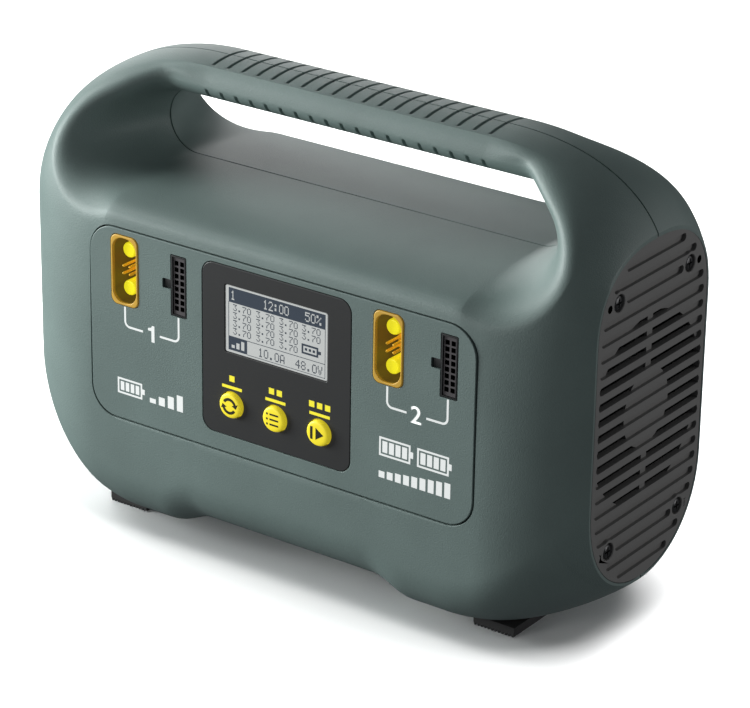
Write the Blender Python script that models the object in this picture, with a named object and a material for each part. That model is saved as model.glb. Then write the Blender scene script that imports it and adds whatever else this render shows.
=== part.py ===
"""Two-channel balance battery charger: a rounded two-shell case with a carrying handle moulded into it,
a front control panel with display, buttons and battery sockets, and a fan behind a grille at each end.

All sizes are millimetres in this file, and solid() turns them into metres. X runs along the case's length,
the front faces -Y and Z is up. The origin is on the floor, under the middle of the case."""

import math

import bmesh
import bpy
import numpy as np

MM = 0.001

# The case as a whole. Its plan is a stadium whose round ends are cut off flat, where the grilles sit.
HALF_LENGTH = 147.9
HALF_DEPTH = 63.1
END_ARC_X = 103.0
TOP_Z = 212.4
LOBE_Z = 5.0
BELLY_Z = 11.5
WALL = 3.0
GAP = 0.3

# Corners of the side outline: where they start, how far they would run, and how square they are.
TOP_CORNER = {"start": 75.0, "reach": 77.7, "drop": 52.4, "power": 2.2}
BOTTOM_CORNER = {"start": 101.1, "radius": 69.0}
BELLY_RAMP = (46.0, 66.0)
SHOULDER_Z = 141.1
SHOULDER_POWER = (2.0, 2.4)
BOTTOM_ROUND = 25.0
END_BOTTOM_ROUND = 45.0

# The opening under the handle, a stadium in the parting plane that flares like a horn.
OPENING_Z = 177.65
OPENING_RADIUS = 15.45
OPENING_CORE = 92.05
BAR_HALF_DEPTH = 18.0
BAR_REACH = 9.5
BAND_RADIUS = 150.0
BAND_HALF_WIDTH = 12.8

# How finely the case's surface is divided.
BAR_STEPS = 3
CORNER_STEPS = 5
END_STEPS = 10
FLOOR_X = (101.1, 66.0, 60.0, 52.0, 46.0, 0.0)
SECTION_STEPS = 12
SPREAD_X = 112.0

# Control panel.
PANEL_WIDTH = 205.0
PANEL_HEIGHT = 90.4
PANEL_RADIUS = 14.0
PANEL_Z = 101.5
PANEL_GROOVE = 0.8
FRONT = -HALF_DEPTH
BEZEL_SIZE = 79.2
BEZEL_RADIUS = 6.0
BEZEL_Z = 104.2
BEZEL_THICK = 2.4
SCREEN_WIDTH = 54.8
SCREEN_HEIGHT = 31.4
SCREEN_Z = 119.7
BUTTON_PITCH = 23.57
BUTTON_Z = 79.7
BUTTON_RADIUS = 5.8
BUTTON_HOLE = 6.2
BUTTON_PROUD = 2.1
BUTTON_TRAVEL = 0.8

# Battery sockets.
SOCKET_X = (-82.8, 58.7)
SOCKET_Z = 127.5
SOCKET_WIDTH = 15.1
SOCKET_HEIGHT = 32.7
SOCKET_PROUD = 0.4
SOCKET_DEPTH = 19.0
CAVITY_DEPTH = 13.5
BULLET_RADIUS = 3.5
BULLET_SPREAD = 8.9
BULLET_SUNK = 3.0
SIGNAL_PITCH = 3.55
PORT_X = (-52.7, 89.3)
PORT_WIDTH = 8.2
PORT_HEIGHT = 28.1
PORT_DEPTH = 12.0
HOLE_PITCH = 3.0
HOLE_SIZE = 2.2
HOLE_ROWS = 8
HOLE_COLUMNS = 2
LATCH_REACH = 4.3
LATCH_HALF_HEIGHT = 1.95

# End grilles and fans.
GRILLE_THICK = 3.0
GRILLE_HALF_WIDTH = 42.9
GRILLE_MARGIN = 1.3
FAN_Z = 102.8
SLOT_TOP_Z = 172.6
SLOT_PITCH = 7.02
SLOT_HALF_HEIGHT = 1.9
SLOT_ROWS = 21
HUB_RADIUS = 17.5
RING_RADIUS = 42.5
CENTRE_RIB = 2.1
SCREW_Y = 27.8
SCREW_RISE = 56.1
FAN_SIZE = 90.6
FAN_THICK = 25.0
FAN_INNER_X = 114.6
FAN_BORE = 43.5
BLADE_RADIUS = 42.0
ROTOR_HUB_RADIUS = 19.0
BLADES = 7

# Case screws and feet.
CASE_SCREW_X = 109.3
CASE_SCREW_Z = (36.0, 140.0)
FOOT_X = 100.9
FOOT_WIDTH = 21.2
FOOT_HALF_LENGTH = 41.4
FOOT_RIB_PITCH = 1.77

# Mains inlet and boards.
INLET_PLACE = (-72.0, 46.0)
BOARD_Z = 22.0
STANDOFF_X = 85.0
STANDOFF_Y = 26.0


# ---------------------------------------------------------------- making objects


def clear_scene():
    for thing in list(bpy.data.objects):
        bpy.data.objects.remove(thing, do_unlink=True)


def finish(name, colour, roughness, metallic=0.0):
    """A Principled material, made once for each name."""
    made = bpy.data.materials.get(name)
    if made:
        return made
    made = bpy.data.materials.new(name)
    made.use_nodes = True
    shader = made.node_tree.nodes["Principled BSDF"]
    shader.inputs["Base Color"].default_value = (*colour, 1.0)
    shader.inputs["Roughness"].default_value = roughness
    shader.inputs["Metallic"].default_value = metallic
    made.diffuse_color = (*colour, 1.0)
    return made


def case_green():
    return finish("case_green", (0.10, 0.135, 0.125), 0.5)


def charcoal():
    return finish("charcoal", (0.045, 0.045, 0.045), 0.45)


def grille_grey():
    return finish("grille_grey", (0.075, 0.072, 0.07), 0.5)


def signal_yellow():
    return finish("signal_yellow", (0.85, 0.72, 0.03), 0.4)


def socket_yellow():
    return finish("socket_yellow", (0.80, 0.44, 0.05), 0.45)


def gold():
    return finish("gold", (0.9, 0.66, 0.12), 0.25, 1.0)


def black_nylon():
    return finish("black_nylon", (0.012, 0.012, 0.013), 0.55)


def steel():
    return finish("black_steel", (0.05, 0.05, 0.05), 0.35, 1.0)


def board_green():
    return finish("board_green", (0.02, 0.16, 0.06), 0.4)


def rubber():
    return finish("rubber", (0.02, 0.02, 0.02), 0.8)


def solid(name, points, faces, material, smooth=True):
    """A mesh object from millimetre points."""
    mesh = bpy.data.meshes.new(name)
    mesh.from_pydata([tuple(float(c) * MM for c in p) for p in points], [], [tuple(f) for f in faces])
    body = bmesh.new()
    body.from_mesh(mesh)
    bmesh.ops.recalc_face_normals(body, faces=body.faces)
    body.to_mesh(mesh)
    body.free()
    if smooth:
        mesh.shade_smooth()
        mesh.set_sharp_from_angle(angle=math.radians(35))
    made = bpy.data.objects.new(name, mesh)
    bpy.context.scene.collection.objects.link(made)
    made.data.materials.append(material)
    return made


def placed(outline, height, axis):
    """Outline points (a, b) at one height along an axis. Seen along -Y they are X and Z, along +X Y and Z."""
    if axis == "Y":
        return [(a, height, b) for a, b in outline]
    if axis == "X":
        return [(height, a, b) for a, b in outline]
    return [(a, b, height) for a, b in outline]


def loft(name, sections, material, smooth=True):
    """A closed solid through rings of points of equal count, with flat caps at both ends."""
    count = len(sections[0])
    points = [p for ring in sections for p in ring]
    faces = [tuple(range(count)), tuple(range((len(sections) - 1) * count, len(sections) * count))]
    for level in range(len(sections) - 1):
        low = level * count
        high = low + count
        faces += [(low + i, low + (i + 1) % count, high + (i + 1) % count, high + i) for i in range(count)]
    return solid(name, points, faces, material, smooth)


def prism(name, outline, axis, low, high, material):
    return loft(name, [placed(outline, low, axis), placed(outline, high, axis)], material)


def block(name, low, high, material):
    outline = [(low[0], low[1]), (high[0], low[1]), (high[0], high[1]), (low[0], high[1])]
    return prism(name, outline, "Z", low[2], high[2], material)


def turned(name, profile, axis, centre, material, sides=24):
    """A turned solid. Profile points are (radius, height along the axis), from one end to the other."""
    rings = []
    for radius, height in profile:
        angles = [2 * math.pi * i / sides for i in range(sides)]
        ring = [(centre[0] + radius * math.cos(a), centre[1] + radius * math.sin(a)) for a in angles]
        rings.append(placed(ring, height, axis))
    return loft(name, rings, material)


def cutter(made):
    """Marks an object as a tool that is never part of the charger."""
    made.hide_render = True
    made.display_type = "WIRE"
    return made


def combine(target, tools, operation):
    """Applies a Boolean with each tool in turn."""
    for tool in tools:
        step = target.modifiers.new(tool.name, "BOOLEAN")
        step.operation = operation
        step.solver = "EXACT"
        step.object = cutter(tool)
    return target


def cut(target, *tools):
    return combine(target, tools, "DIFFERENCE")


def join(target, *tools):
    return combine(target, tools, "UNION")


# ---------------------------------------------------------------- outlines


def rounded(width, height, centre, radii, steps=5):
    """A rectangle with round corners. radii is one number, or four from the top right anticlockwise."""
    radii = radii if isinstance(radii, tuple) else (radii,) * 4
    outline = []
    for quarter, radius in enumerate(radii):
        across = 1 if quarter in (0, 3) else -1
        up = 1 if quarter in (0, 1) else -1
        middle = (centre[0] + across * (width / 2 - radius), centre[1] + up * (height / 2 - radius))
        for step in range(steps + 1):
            angle = math.pi / 2 * (quarter + step / steps)
            outline.append((middle[0] + radius * math.cos(angle), middle[1] + radius * math.sin(angle)))
    return outline


def smooth_step(low, high, value):
    share = min(max((value - low) / (high - low), 0.0), 1.0)
    return share * share * (3 - 2 * share)


def top_z(x):
    """Height of the case's crest, in the parting plane."""
    share = min(max((abs(x) - TOP_CORNER["start"]) / TOP_CORNER["reach"], 0.0), 1.0)
    power = TOP_CORNER["power"]
    return TOP_Z - TOP_CORNER["drop"] * (1 - (1 - share**power) ** (1 / power))


def bottom_z(x):
    """Height of the underside: a raised belly between two lobes, then round corners."""
    lift = (BELLY_Z - LOBE_Z) * (1 - smooth_step(*BELLY_RAMP, abs(x)))
    beyond = min(max(abs(x) - BOTTOM_CORNER["start"], 0.0), BOTTOM_CORNER["radius"])
    return LOBE_Z + lift + BOTTOM_CORNER["radius"] - math.sqrt(BOTTOM_CORNER["radius"] ** 2 - beyond**2)


def plan_depth(x):
    """Half the case's depth at mid height."""
    beyond = max(abs(x) - END_ARC_X, 0.0)
    return math.sqrt(max(HALF_DEPTH**2 - beyond**2, 0.0))


def soft_min(first, second, width):
    overlap = max(width - abs(first - second), 0.0) / width
    return min(first, second) - overlap * overlap * width / 4


def bar_depth(drop):
    """Half the handle's depth at a distance below its crest: a slightly crowned band, then a full side."""
    band = math.sqrt(max(BAND_RADIUS**2 - (BAND_RADIUS - drop) ** 2, 0.0))
    side = BAND_HALF_WIDTH + 0.85 * drop - 0.024 * drop**2
    return soft_min(band, side, 4.0)


def outer_depth(x, z):
    """Half the depth of the case if it had no opening."""
    widest = plan_depth(x)
    towards_end = smooth_step(85.0, HALF_LENGTH, abs(x))
    low = z - bottom_z(x)
    reach = BOTTOM_ROUND + (END_BOTTOM_ROUND - BOTTOM_ROUND) * towards_end
    depth = widest
    if low < reach:
        edge = flat_half_width(x)
        share = 1 - max(low, 0.0) / reach
        depth = edge + (widest - edge) * (1 - share**2.1) ** (1 / 2.1)
    drop = max(top_z(x) - z, 0.0)
    if z > SHOULDER_Z:
        share = min((z - SHOULDER_Z) / (top_z(x) - SHOULDER_Z), 1.0)
        power = SHOULDER_POWER[0] + (SHOULDER_POWER[1] - SHOULDER_POWER[0]) * smooth_step(105.0, 140.0, abs(x))
        arm = widest * (1 - share**power) ** (1 / power)
        to_arm = smooth_step(72.0, 114.0, abs(x))
        bar = min(bar_depth(min(drop, 20.0)) + 2.0 * max(drop - 20.0, 0.0), arm) if drop < 60 else arm
        depth = min(depth, bar + (arm - bar) * to_arm)
    return depth


def flat_half_width(x):
    """Half the width of the flat underside, which runs out towards the ends."""
    share = 1 - smooth_step(85.0, HALF_LENGTH, abs(x))
    return (HALF_DEPTH - BOTTOM_ROUND) * share


def horn_depth(x, z):
    """Half the depth of the horn that flares out from the opening, and how softly it meets the outside."""
    across = max(abs(x) - OPENING_CORE, 0.0)
    rise = z - OPENING_Z
    distance = math.hypot(across, rise) - OPENING_RADIUS
    turn = across / max(math.hypot(across, rise), 1e-9)
    if rise > 0:
        depth = BAR_HALF_DEPTH + 54.4 * turn**2.0
        reach = BAR_REACH + 19.5 * turn**1.2
        blend = 3.0 + 29.0 * turn**1.2
    else:
        depth = 70.0 + 2.4 * turn
        reach = 14.0 + 15.0 * turn**1.5
        blend = 8.0 + 24.0 * turn
    share = min(max(distance / reach, 0.0), 1.0)
    power = 2.0 - 0.95 * turn**1.8
    return depth * max(1 - (1 - share) ** power, 0.0) ** (1 / power), blend


def half_depth(x, z):
    """Half the depth of the finished case at a place in its side outline."""
    horn, blend = horn_depth(x, z)
    outer = outer_depth(x, z)
    edge = min(blend, 2 * horn, 2 * max(outer, 0.01))
    return max(soft_min(outer, horn, max(edge, 1e-3)), 0.0)


# ---------------------------------------------------------------- the case's surface


def corner_x(share):
    """A place along a corner of the side outline, closer together towards the end."""
    return SPREAD_X + (HALF_LENGTH - SPREAD_X) * math.sin(share * math.pi / 2)


def end_z(share):
    """A height in the cut-off end, from its top to its bottom, closer together at both."""
    high, low = top_z(HALF_LENGTH), bottom_z(HALF_LENGTH)
    return (high + low) / 2 + (high - low) / 2 * math.cos(share * math.pi)


def stations():
    """Pairs of places in the side outline, (on the opening, on the outside), once round from the top middle."""
    half = []
    for step in range(BAR_STEPS):
        x = OPENING_CORE * step / BAR_STEPS
        spread = (SPREAD_X - OPENING_CORE) * smooth_step(60.0, OPENING_CORE, x)
        half.append(((x, OPENING_Z + OPENING_RADIUS), (x + spread, top_z(x + spread))))
    ends = [corner_x(step / CORNER_STEPS) for step in range(CORNER_STEPS)]
    outers = [(x, top_z(x)) for x in ends]
    outers += [(HALF_LENGTH, end_z(step / END_STEPS)) for step in range(END_STEPS + 1)]
    outers += [(x, bottom_z(x)) for x in reversed(ends)]
    for step, outer in enumerate(outers):
        angle = math.pi / 2 - math.pi * step / (len(outers) - 1)
        across = OPENING_CORE + OPENING_RADIUS * math.cos(angle)
        half.append(((across, OPENING_Z + OPENING_RADIUS * math.sin(angle)), outer))
    for x in FLOOR_X:
        half.append(((OPENING_CORE * x / SPREAD_X, OPENING_Z - OPENING_RADIUS), (x, bottom_z(x))))
    mirrored = [((-a[0], a[1]), (-b[0], b[1])) for a, b in reversed(half[1:-1])]
    return half + mirrored


def inner_depth(x, z, ahead):
    """Half the depth of the hollow inside: the outside moved in by the wall, looking both ways along a line."""
    depths = []
    for degrees in range(-90, 91, 30):
        turn = math.radians(degrees)
        reach = WALL * math.sin(turn)
        depths.append(half_depth(x + reach * ahead[0], z + reach * ahead[1]) - WALL * math.cos(turn))
    return max(min(depths), 0.0)


def section(inner, outer, parting, hollow):
    """The surface along the line from one place to the other, as points at even turning and length."""
    at_end = abs(outer[0]) > HALF_LENGTH - 1e-6
    ahead = np.array(outer) - np.array(inner)
    ahead /= np.linalg.norm(ahead)
    if hollow:
        inner = np.array(inner) + WALL * ahead
        outer = np.array(outer) - (0 if at_end else WALL) * ahead
    fine = 160
    path = []
    for step in range(fine + 1):
        share = 0.5 - 0.5 * math.cos(math.pi * step / fine)
        x = inner[0] + (outer[0] - inner[0]) * share
        z = inner[1] + (outer[1] - inner[1]) * share
        path.append((x, inner_depth(x, z, ahead) if hollow else half_depth(x, z), z))
    if path[-1][1] > parting and not at_end:
        steps = 12
        edge = path[-1]
        path += [(edge[0], edge[1] * (1 - s / steps), edge[2]) for s in range(1, steps + 1)]
    path = np.array(path)
    path[:, 1] = np.maximum(path[:, 1], parting)
    path[0, 1] = parting
    legs = np.linalg.norm(np.diff(path, axis=0), axis=1)
    headings = np.diff(path, axis=0) / np.maximum(legs, 1e-9)[:, None]
    turns = np.zeros(len(legs))
    bends = np.clip((headings[1:] * headings[:-1]).sum(axis=1), -1, 1)
    counted = (path[1:-1, 1] > parting + 1e-6) & (legs[1:] > 1e-6) & (legs[:-1] > 1e-6)
    turns[1:] = np.where(counted, np.arccos(bends), 0)
    weight = np.concatenate([[0], np.cumsum(legs + 34.0 * turns)])
    wanted = np.linspace(0, weight[-1], SECTION_STEPS + 1)
    return np.column_stack([np.interp(wanted, weight, path[:, axis]) for axis in range(3)])


def surface_grid(parting, hollow=False):
    """Points of the outside or inside surface of one half: [station, step along its section]."""
    rows = []
    high, low = top_z(HALF_LENGTH), bottom_z(HALF_LENGTH)
    middle = (high + low) / 2
    for inner, outer in stations():
        if hollow and abs(outer[0]) > HALF_LENGTH - 1e-6:
            shrink = (high - middle - WALL) / (high - middle)
            outer = (outer[0], middle + (outer[1] - middle) * shrink)
        rows.append(section(inner, outer, parting, hollow))
    return np.array(rows)


def shorter_halves(points, quads):
    """Each quad as two triangles, split along its shorter diagonal."""
    faces = []
    for a, b, c, d in quads:
        if np.linalg.norm(points[a] - points[c]) < np.linalg.norm(points[b] - points[d]):
            faces += [(a, b, c), (a, c, d)]
        else:
            faces += [(a, b, d), (b, c, d)]
    return faces


def shell(name, side, material):
    """One half of the case, hollow, open at the parting plane and at both ends. side is -1 for the front."""
    parting = GAP / 2
    outside = surface_grid(parting)
    inside = surface_grid(parting, hollow=True)
    outside[:, :, 1] *= side
    inside[:, :, 1] *= side
    count, steps = outside.shape[:2]
    layer = count * steps
    faces = []
    for i in range(count):
        row, following = i * steps, (i + 1) % count * steps
        for k in range(steps - 1):
            quad = (row + k, following + k, following + k + 1, row + k + 1)
            faces.append(quad)
            faces.append(tuple(layer + corner for corner in reversed(quad)))
        for k in (0, steps - 1):
            faces.append((row + k, following + k, layer + following + k, layer + row + k))
    points = np.concatenate([outside.reshape(-1, 3), inside.reshape(-1, 3)])
    return solid(name, points, shorter_halves(points, faces), material)


def end_outline(inset):
    """The outline (y, z) of the cut-off end, moved inwards."""
    right = []
    for step in range(END_STEPS + 1):
        z = end_z(step / END_STEPS)
        right.append((outer_depth(HALF_LENGTH, z), z))
    outline = np.array(right + [(-y, z) for y, z in reversed(right[1:-1])])
    ahead = np.roll(outline, -1, axis=0) - np.roll(outline, 1, axis=0)
    inward = np.column_stack([ahead[:, 1], -ahead[:, 0]])
    inward /= np.linalg.norm(inward, axis=1)[:, None]
    inward *= np.sign(((outline.mean(axis=0) - outline) * inward).sum(axis=1))[:, None]
    return [tuple(p) for p in outline + inset * inward]


# ---------------------------------------------------------------- case


def ends():
    """Both ends of the case, as a name and the sign of X."""
    return (("left", -1), ("right", 1))


def case_screw_places():
    return [(x, z) for z in CASE_SCREW_Z for x in (-CASE_SCREW_X, CASE_SCREW_X)]


def grille_screw_places(side):
    """Places of one grille's screws, as (sign of X, y, z)."""
    return [(side, y, FAN_Z + rise) for rise in (-SCREW_RISE, SCREW_RISE) for y in (-SCREW_Y, SCREW_Y)]


def end_cutters(label):
    made = []
    for end, sign in ends():
        low, high = sorted((sign * 130.0, sign * 160.0))
        made.append(prism(f"{label}_{end}_opening", end_outline(GRILLE_MARGIN - GAP), "X", low, high, case_green()))
    return made


def grille_bosses(label, side):
    """Blocks inside the shell that the grille screws bite into, and the holes in them."""
    blocks, holes = [], []
    for end, sign in ends():
        for rise, reach in ((-SCREW_RISE, 40.3), (SCREW_RISE, 40.8)):
            z = FAN_Z + rise
            xs = sorted((sign * 134.0, sign * 144.4))
            ys = sorted((side * 22.0, side * reach))
            tag = f"{label}_{end}_{'upper' if rise > 0 else 'lower'}"
            blocks.append(block(f"{tag}_boss", (xs[0], ys[0], z - 4.4), (xs[1], ys[1], z + 4.4), case_green()))
            xs = sorted((sign * 135.5, sign * 146.0))
            hole = [(1.8, xs[0]), (1.8, xs[1])]
            holes.append(turned(f"{tag}_boss_hole", hole, "X", (side * SCREW_Y, z), case_green(), 12))
    return blocks, holes


def front_shell():
    made = shell("front_shell", -1, case_green())
    cut(made, *end_cutters("front"))
    blocks, holes = grille_bosses("front", -1)
    posts, bores = [], []
    for index, (x, z) in enumerate(case_screw_places()):
        posts.append(turned(f"front_post_{index}", [(4.0, -61.3), (4.0, -3.0)], "Y", (x, z), case_green(), 12))
        bores.append(turned(f"front_post_bore_{index}", [(1.8, -20.0), (1.8, -1.0)], "Y", (x, z), case_green(), 12))
    join(made, *blocks, *posts)
    window = rounded(PANEL_WIDTH + 2 * PANEL_GROOVE, PANEL_HEIGHT + 2 * PANEL_GROOVE, (0, PANEL_Z), PANEL_RADIUS)
    cut(made, *holes, *bores, prism("panel_window", window, "Y", -70.0, -50.0, case_green()))


def rear_shell():
    made = shell("rear_shell", 1, case_green())
    cut(made, *end_cutters("rear"))
    blocks, holes = grille_bosses("rear", 1)
    posts, bores = [], []
    for index, (x, z) in enumerate(case_screw_places()):
        posts.append(turned(f"rear_post_{index}", [(5.0, 3.0), (5.0, 61.3)], "Y", (x, z), case_green(), 16))
        steps = [(1.9, 1.0), (1.9, 47.0), (3.7, 47.01), (3.7, 70.0)]
        bores.append(turned(f"rear_post_bore_{index}", steps, "Y", (x, z), case_green(), 12))
    join(made, *blocks, *posts)
    inlet = rounded(28.0, 20.6, INLET_PLACE, 2.5, 3)
    cut(made, *holes, *bores, prism("inlet_window", inlet, "Y", 50.0, 70.0, case_green()))


def case_screws():
    for index, place in enumerate(case_screw_places(), 1):
        profile = [(1.5, -14.0), (1.5, 47.3), (3.2, 47.31), (3.2, 49.2), (2.2, 50.0)]
        turned(f"case_screw_{index}", profile, "Y", place, steel(), 10)


def feet():
    """Two rubber bars with a ribbed sole; the ribs run from front to back."""
    for end, sign in ends():
        ribs = round(FOOT_WIDTH / FOOT_RIB_PITCH)
        low = sign * FOOT_X - FOOT_WIDTH / 2
        sole = []
        for rib in range(ribs):
            start = low + rib * FOOT_WIDTH / ribs
            sole += [(start + 0.25, 1.1), (start + 0.5, 0.0), (start + 1.2, 0.0), (start + 1.45, 1.1)]
        outline = [(low, LOBE_Z - GAP), (low, 1.1), *sole, (low + FOOT_WIDTH, 1.1)]
        outline.append((low + FOOT_WIDTH, LOBE_Z - GAP))
        prism(f"foot_{end}", outline, "Y", -FOOT_HALF_LENGTH, FOOT_HALF_LENGTH, rubber())


# ---------------------------------------------------------------- control panel


def port_outline(x, grown=0.0):
    return rounded(PORT_WIDTH + 2 * grown, PORT_HEIGHT + 2 * grown, (x, SOCKET_Z), 0.4, 1)


def socket_outline(x, grown=0.0):
    return rounded(SOCKET_WIDTH + 2 * grown, SOCKET_HEIGHT + 2 * grown, (x, SOCKET_Z), 3.4 + grown, 4)


def latch_block(name, x, grown, near, far):
    """The room for a balance plug's latch, to the left of its socket."""
    side = x - PORT_WIDTH / 2
    low = (side - LATCH_REACH - grown, near, SOCKET_Z - LATCH_HALF_HEIGHT - grown)
    return block(name, low, (side + 1.0, far, SOCKET_Z + LATCH_HALF_HEIGHT + grown), black_nylon())


def front_panel():
    plate = rounded(PANEL_WIDTH, PANEL_HEIGHT, (0, PANEL_Z), PANEL_RADIUS - PANEL_GROOVE)
    made = prism("front_panel", plate, "Y", FRONT, FRONT + 4.8, case_green())
    flange = rounded(PANEL_WIDTH + 4.0, PANEL_HEIGHT + 3.4, (0, PANEL_Z), PANEL_RADIUS + 1.2)
    join(made, prism("panel_flange", flange, "Y", FRONT + WALL + 1.1, FRONT + 5.1, case_green()))
    side = BEZEL_SIZE + 2 * GAP
    holes = [prism("bezel_window", rounded(side, side, (0, BEZEL_Z), BEZEL_RADIUS + GAP), "Y", -70.0, -50.0, charcoal())]
    for index, x in enumerate(SOCKET_X):
        holes.append(prism(f"socket_window_{index}", socket_outline(x, GAP), "Y", -70.0, -50.0, charcoal()))
    for index, x in enumerate(PORT_X):
        holes.append(prism(f"port_window_{index}", port_outline(x, GAP), "Y", -70.0, -50.0, charcoal()))
        holes.append(latch_block(f"latch_window_{index}", x, GAP, -71.0, -49.0))
    cut(made, *holes)


def button_places():
    return [(name, (index - 1) * BUTTON_PITCH) for index, name in enumerate(("channel", "mode", "start"))]


def display_bezel():
    plate = rounded(BEZEL_SIZE, BEZEL_SIZE, (0, BEZEL_Z), BEZEL_RADIUS)
    made = prism("display_bezel", plate, "Y", FRONT, FRONT + BEZEL_THICK, charcoal())
    window = rounded(SCREEN_WIDTH, SCREEN_HEIGHT, (0, SCREEN_Z), 1.0, 2)
    holes = [prism("screen_window", window, "Y", -70.0, -50.0, charcoal())]
    for name, x in button_places():
        bore = [(BUTTON_HOLE, -70.0), (BUTTON_HOLE, -50.0)]
        holes.append(turned(f"button_hole_{name}", bore, "Y", (x, BUTTON_Z), charcoal(), 20))
    cut(made, *holes)


def display():
    lens = rounded(SCREEN_WIDTH - 2 * GAP, SCREEN_HEIGHT - 2 * GAP, (0, SCREEN_Z), 0.8, 2)
    clear = finish("clear_lens", (0.75, 0.78, 0.8), 0.1)
    prism("lcd_window", lens, "Y", FRONT + 0.3, FRONT + 1.5, clear)
    glass = finish("lcd_glass", (0.55, 0.57, 0.58), 0.3)
    block("lcd_module", (-30.0, -60.3, 101.2), (30.0, -55.8, 138.2), glass)
    block("display_board", (-39.0, -55.4, 66.5), (39.0, -53.8, 142.0), board_green())


def buttons():
    """Domed caps behind the bezel, each over a key switch. Pressing moves them along +Y."""
    for name, x in button_places():
        crown = FRONT - BUTTON_PROUD
        dome = [(1.4, crown), (4.6, crown + 0.15), (5.45, crown + 0.5), (BUTTON_RADIUS, crown + 1.2)]
        stem = [(BUTTON_RADIUS, -60.4), (7.5, -60.39), (7.5, -59.7)]
        turned(f"button_{name}", dome + stem, "Y", (x, BUTTON_Z), signal_yellow(), 20)
        travel = BUTTON_TRAVEL + GAP
        switch = rounded(7.0, 7.0, (x, BUTTON_Z), 0.8, 2)
        prism(f"key_switch_{name}", switch, "Y", -59.7 + travel, -55.7, black_nylon())


def power_sockets():
    for index, x in enumerate(SOCKET_X, 1):
        face = FRONT - SOCKET_PROUD
        made = prism(f"power_socket_{index}", socket_outline(x), "Y", face, face + SOCKET_DEPTH, socket_yellow())
        cavity = rounded(SOCKET_WIDTH - 2.8, SOCKET_HEIGHT - 2.8, (x, SOCKET_Z), 5.9, 5)
        floor = face + CAVITY_DEPTH
        tools = [prism(f"cavity_{index}", cavity, "Y", -80.0, floor, gold())]
        for tag, rise in (("upper", BULLET_SPREAD), ("lower", -BULLET_SPREAD)):
            place = (x, SOCKET_Z + rise)
            tools.append(turned(f"tail_hole_{index}_{tag}", [(2.3, -60.0), (2.3, -30.0)], "Y", place, gold(), 12))
            head = FRONT + BULLET_SUNK
            steps = [(BULLET_RADIUS - 0.4, head), (BULLET_RADIUS, head + 0.4), (BULLET_RADIUS, floor - GAP)]
            steps += [(1.9, floor - GAP + 0.01), (1.9, -43.8)]
            turned(f"power_pin_{index}_{tag}", steps, "Y", place, gold(), 14)
        cut(made, *tools)
        signal_pins(index, x, floor)


def signal_pins(index, x, floor):
    """Four thin signal contacts on one small carrier at the bottom of the socket."""
    low, high = floor - 1.6, floor - GAP
    carrier = block(f"signal_pins_{index}", (x - 3.1, low, SOCKET_Z - 3.6), (x + 3.1, high, SOCKET_Z + 3.6), gold())
    pins = []
    for column in (-0.5, 0.5):
        for row in (-0.5, 0.5):
            place = (x + column * SIGNAL_PITCH, SOCKET_Z + row * SIGNAL_PITCH)
            steps = [(0.35, FRONT + 1.0), (0.65, FRONT + 1.5), (0.65, low + 0.5)]
            pins.append(turned(f"signal_{index}_{column}_{row}", steps, "Y", place, gold(), 8))
    join(carrier, *pins)


def balance_sockets():
    for index, x in enumerate(PORT_X, 1):
        made = prism(f"balance_socket_{index}", port_outline(x), "Y", FRONT, FRONT + PORT_DEPTH, black_nylon())
        join(made, latch_block(f"latch_{index}", x, 0.0, FRONT + 1.0, FRONT + PORT_DEPTH - 2.0))
        recess = [prism(f"port_recess_{index}", port_outline(x, -0.7), "Y", -70.0, FRONT + 0.8, black_nylon())]
        for column in range(HOLE_COLUMNS):
            for row in range(HOLE_ROWS):
                a = x + (column - 0.5) * HOLE_PITCH
                b = SOCKET_Z + (row - (HOLE_ROWS - 1) / 2) * HOLE_PITCH
                low = (a - HOLE_SIZE / 2, -70.0, b - HOLE_SIZE / 2)
                high = (a + HOLE_SIZE / 2, FRONT + 8.0, b + HOLE_SIZE / 2)
                recess.append(block(f"contact_hole_{index}_{column}_{row}", low, high, black_nylon()))
        cut(made, *recess)


# ---------------------------------------------------------------- grilles and fans


def slot_span(z):
    """How far an open slot's edge reaches from the centre line at one height: (near, far)."""
    rise = z - FAN_Z
    near = math.sqrt(max(HUB_RADIUS**2 - rise**2, 0.0))
    far = math.sqrt(max(RING_RADIUS**2 - rise**2, 0.0))
    return max(near, CENTRE_RIB), min(far, GRILLE_HALF_WIDTH - 3.4)


def grille(end, sign):
    """The end plate, with open slots only in the ring in front of the fan's blades."""
    low, high = sorted((sign * (HALF_LENGTH - GRILLE_THICK), sign * HALF_LENGTH))
    made = prism(f"vent_grille_{end}", end_outline(GRILLE_MARGIN), "X", low, high, grille_grey())
    tools = []
    for row in range(SLOT_ROWS):
        z = SLOT_TOP_Z - row * SLOT_PITCH
        edges = [slot_span(z + up * SLOT_HALF_HEIGHT) for up in (-1, 1)]
        if min(far - near for near, far in edges) < 3.0:
            continue
        for side in (-1, 1):
            (near_low, far_low), (near_high, far_high) = edges
            shape = [(side * near_low, z - SLOT_HALF_HEIGHT), (side * far_low, z - SLOT_HALF_HEIGHT)]
            shape += [(side * far_high, z + SLOT_HALF_HEIGHT), (side * near_high, z + SLOT_HALF_HEIGHT)]
            tools.append(prism(f"slot_{end}_{row}_{side}", shape, "X", sign * 150.0, sign * 140.0, grille_grey()))
    for index, (_, y, z) in enumerate(grille_screw_places(sign)):
        steps = [(3.9, sign * 150.0), (3.9, sign * (HALF_LENGTH - 1.8))]
        steps += [(1.8, sign * (HALF_LENGTH - 1.81)), (1.8, sign * 140.0)]
        tools.append(turned(f"grille_hole_{end}_{index}", steps, "X", (y, z), grille_grey(), 12))
    cut(made, *tools)


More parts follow.
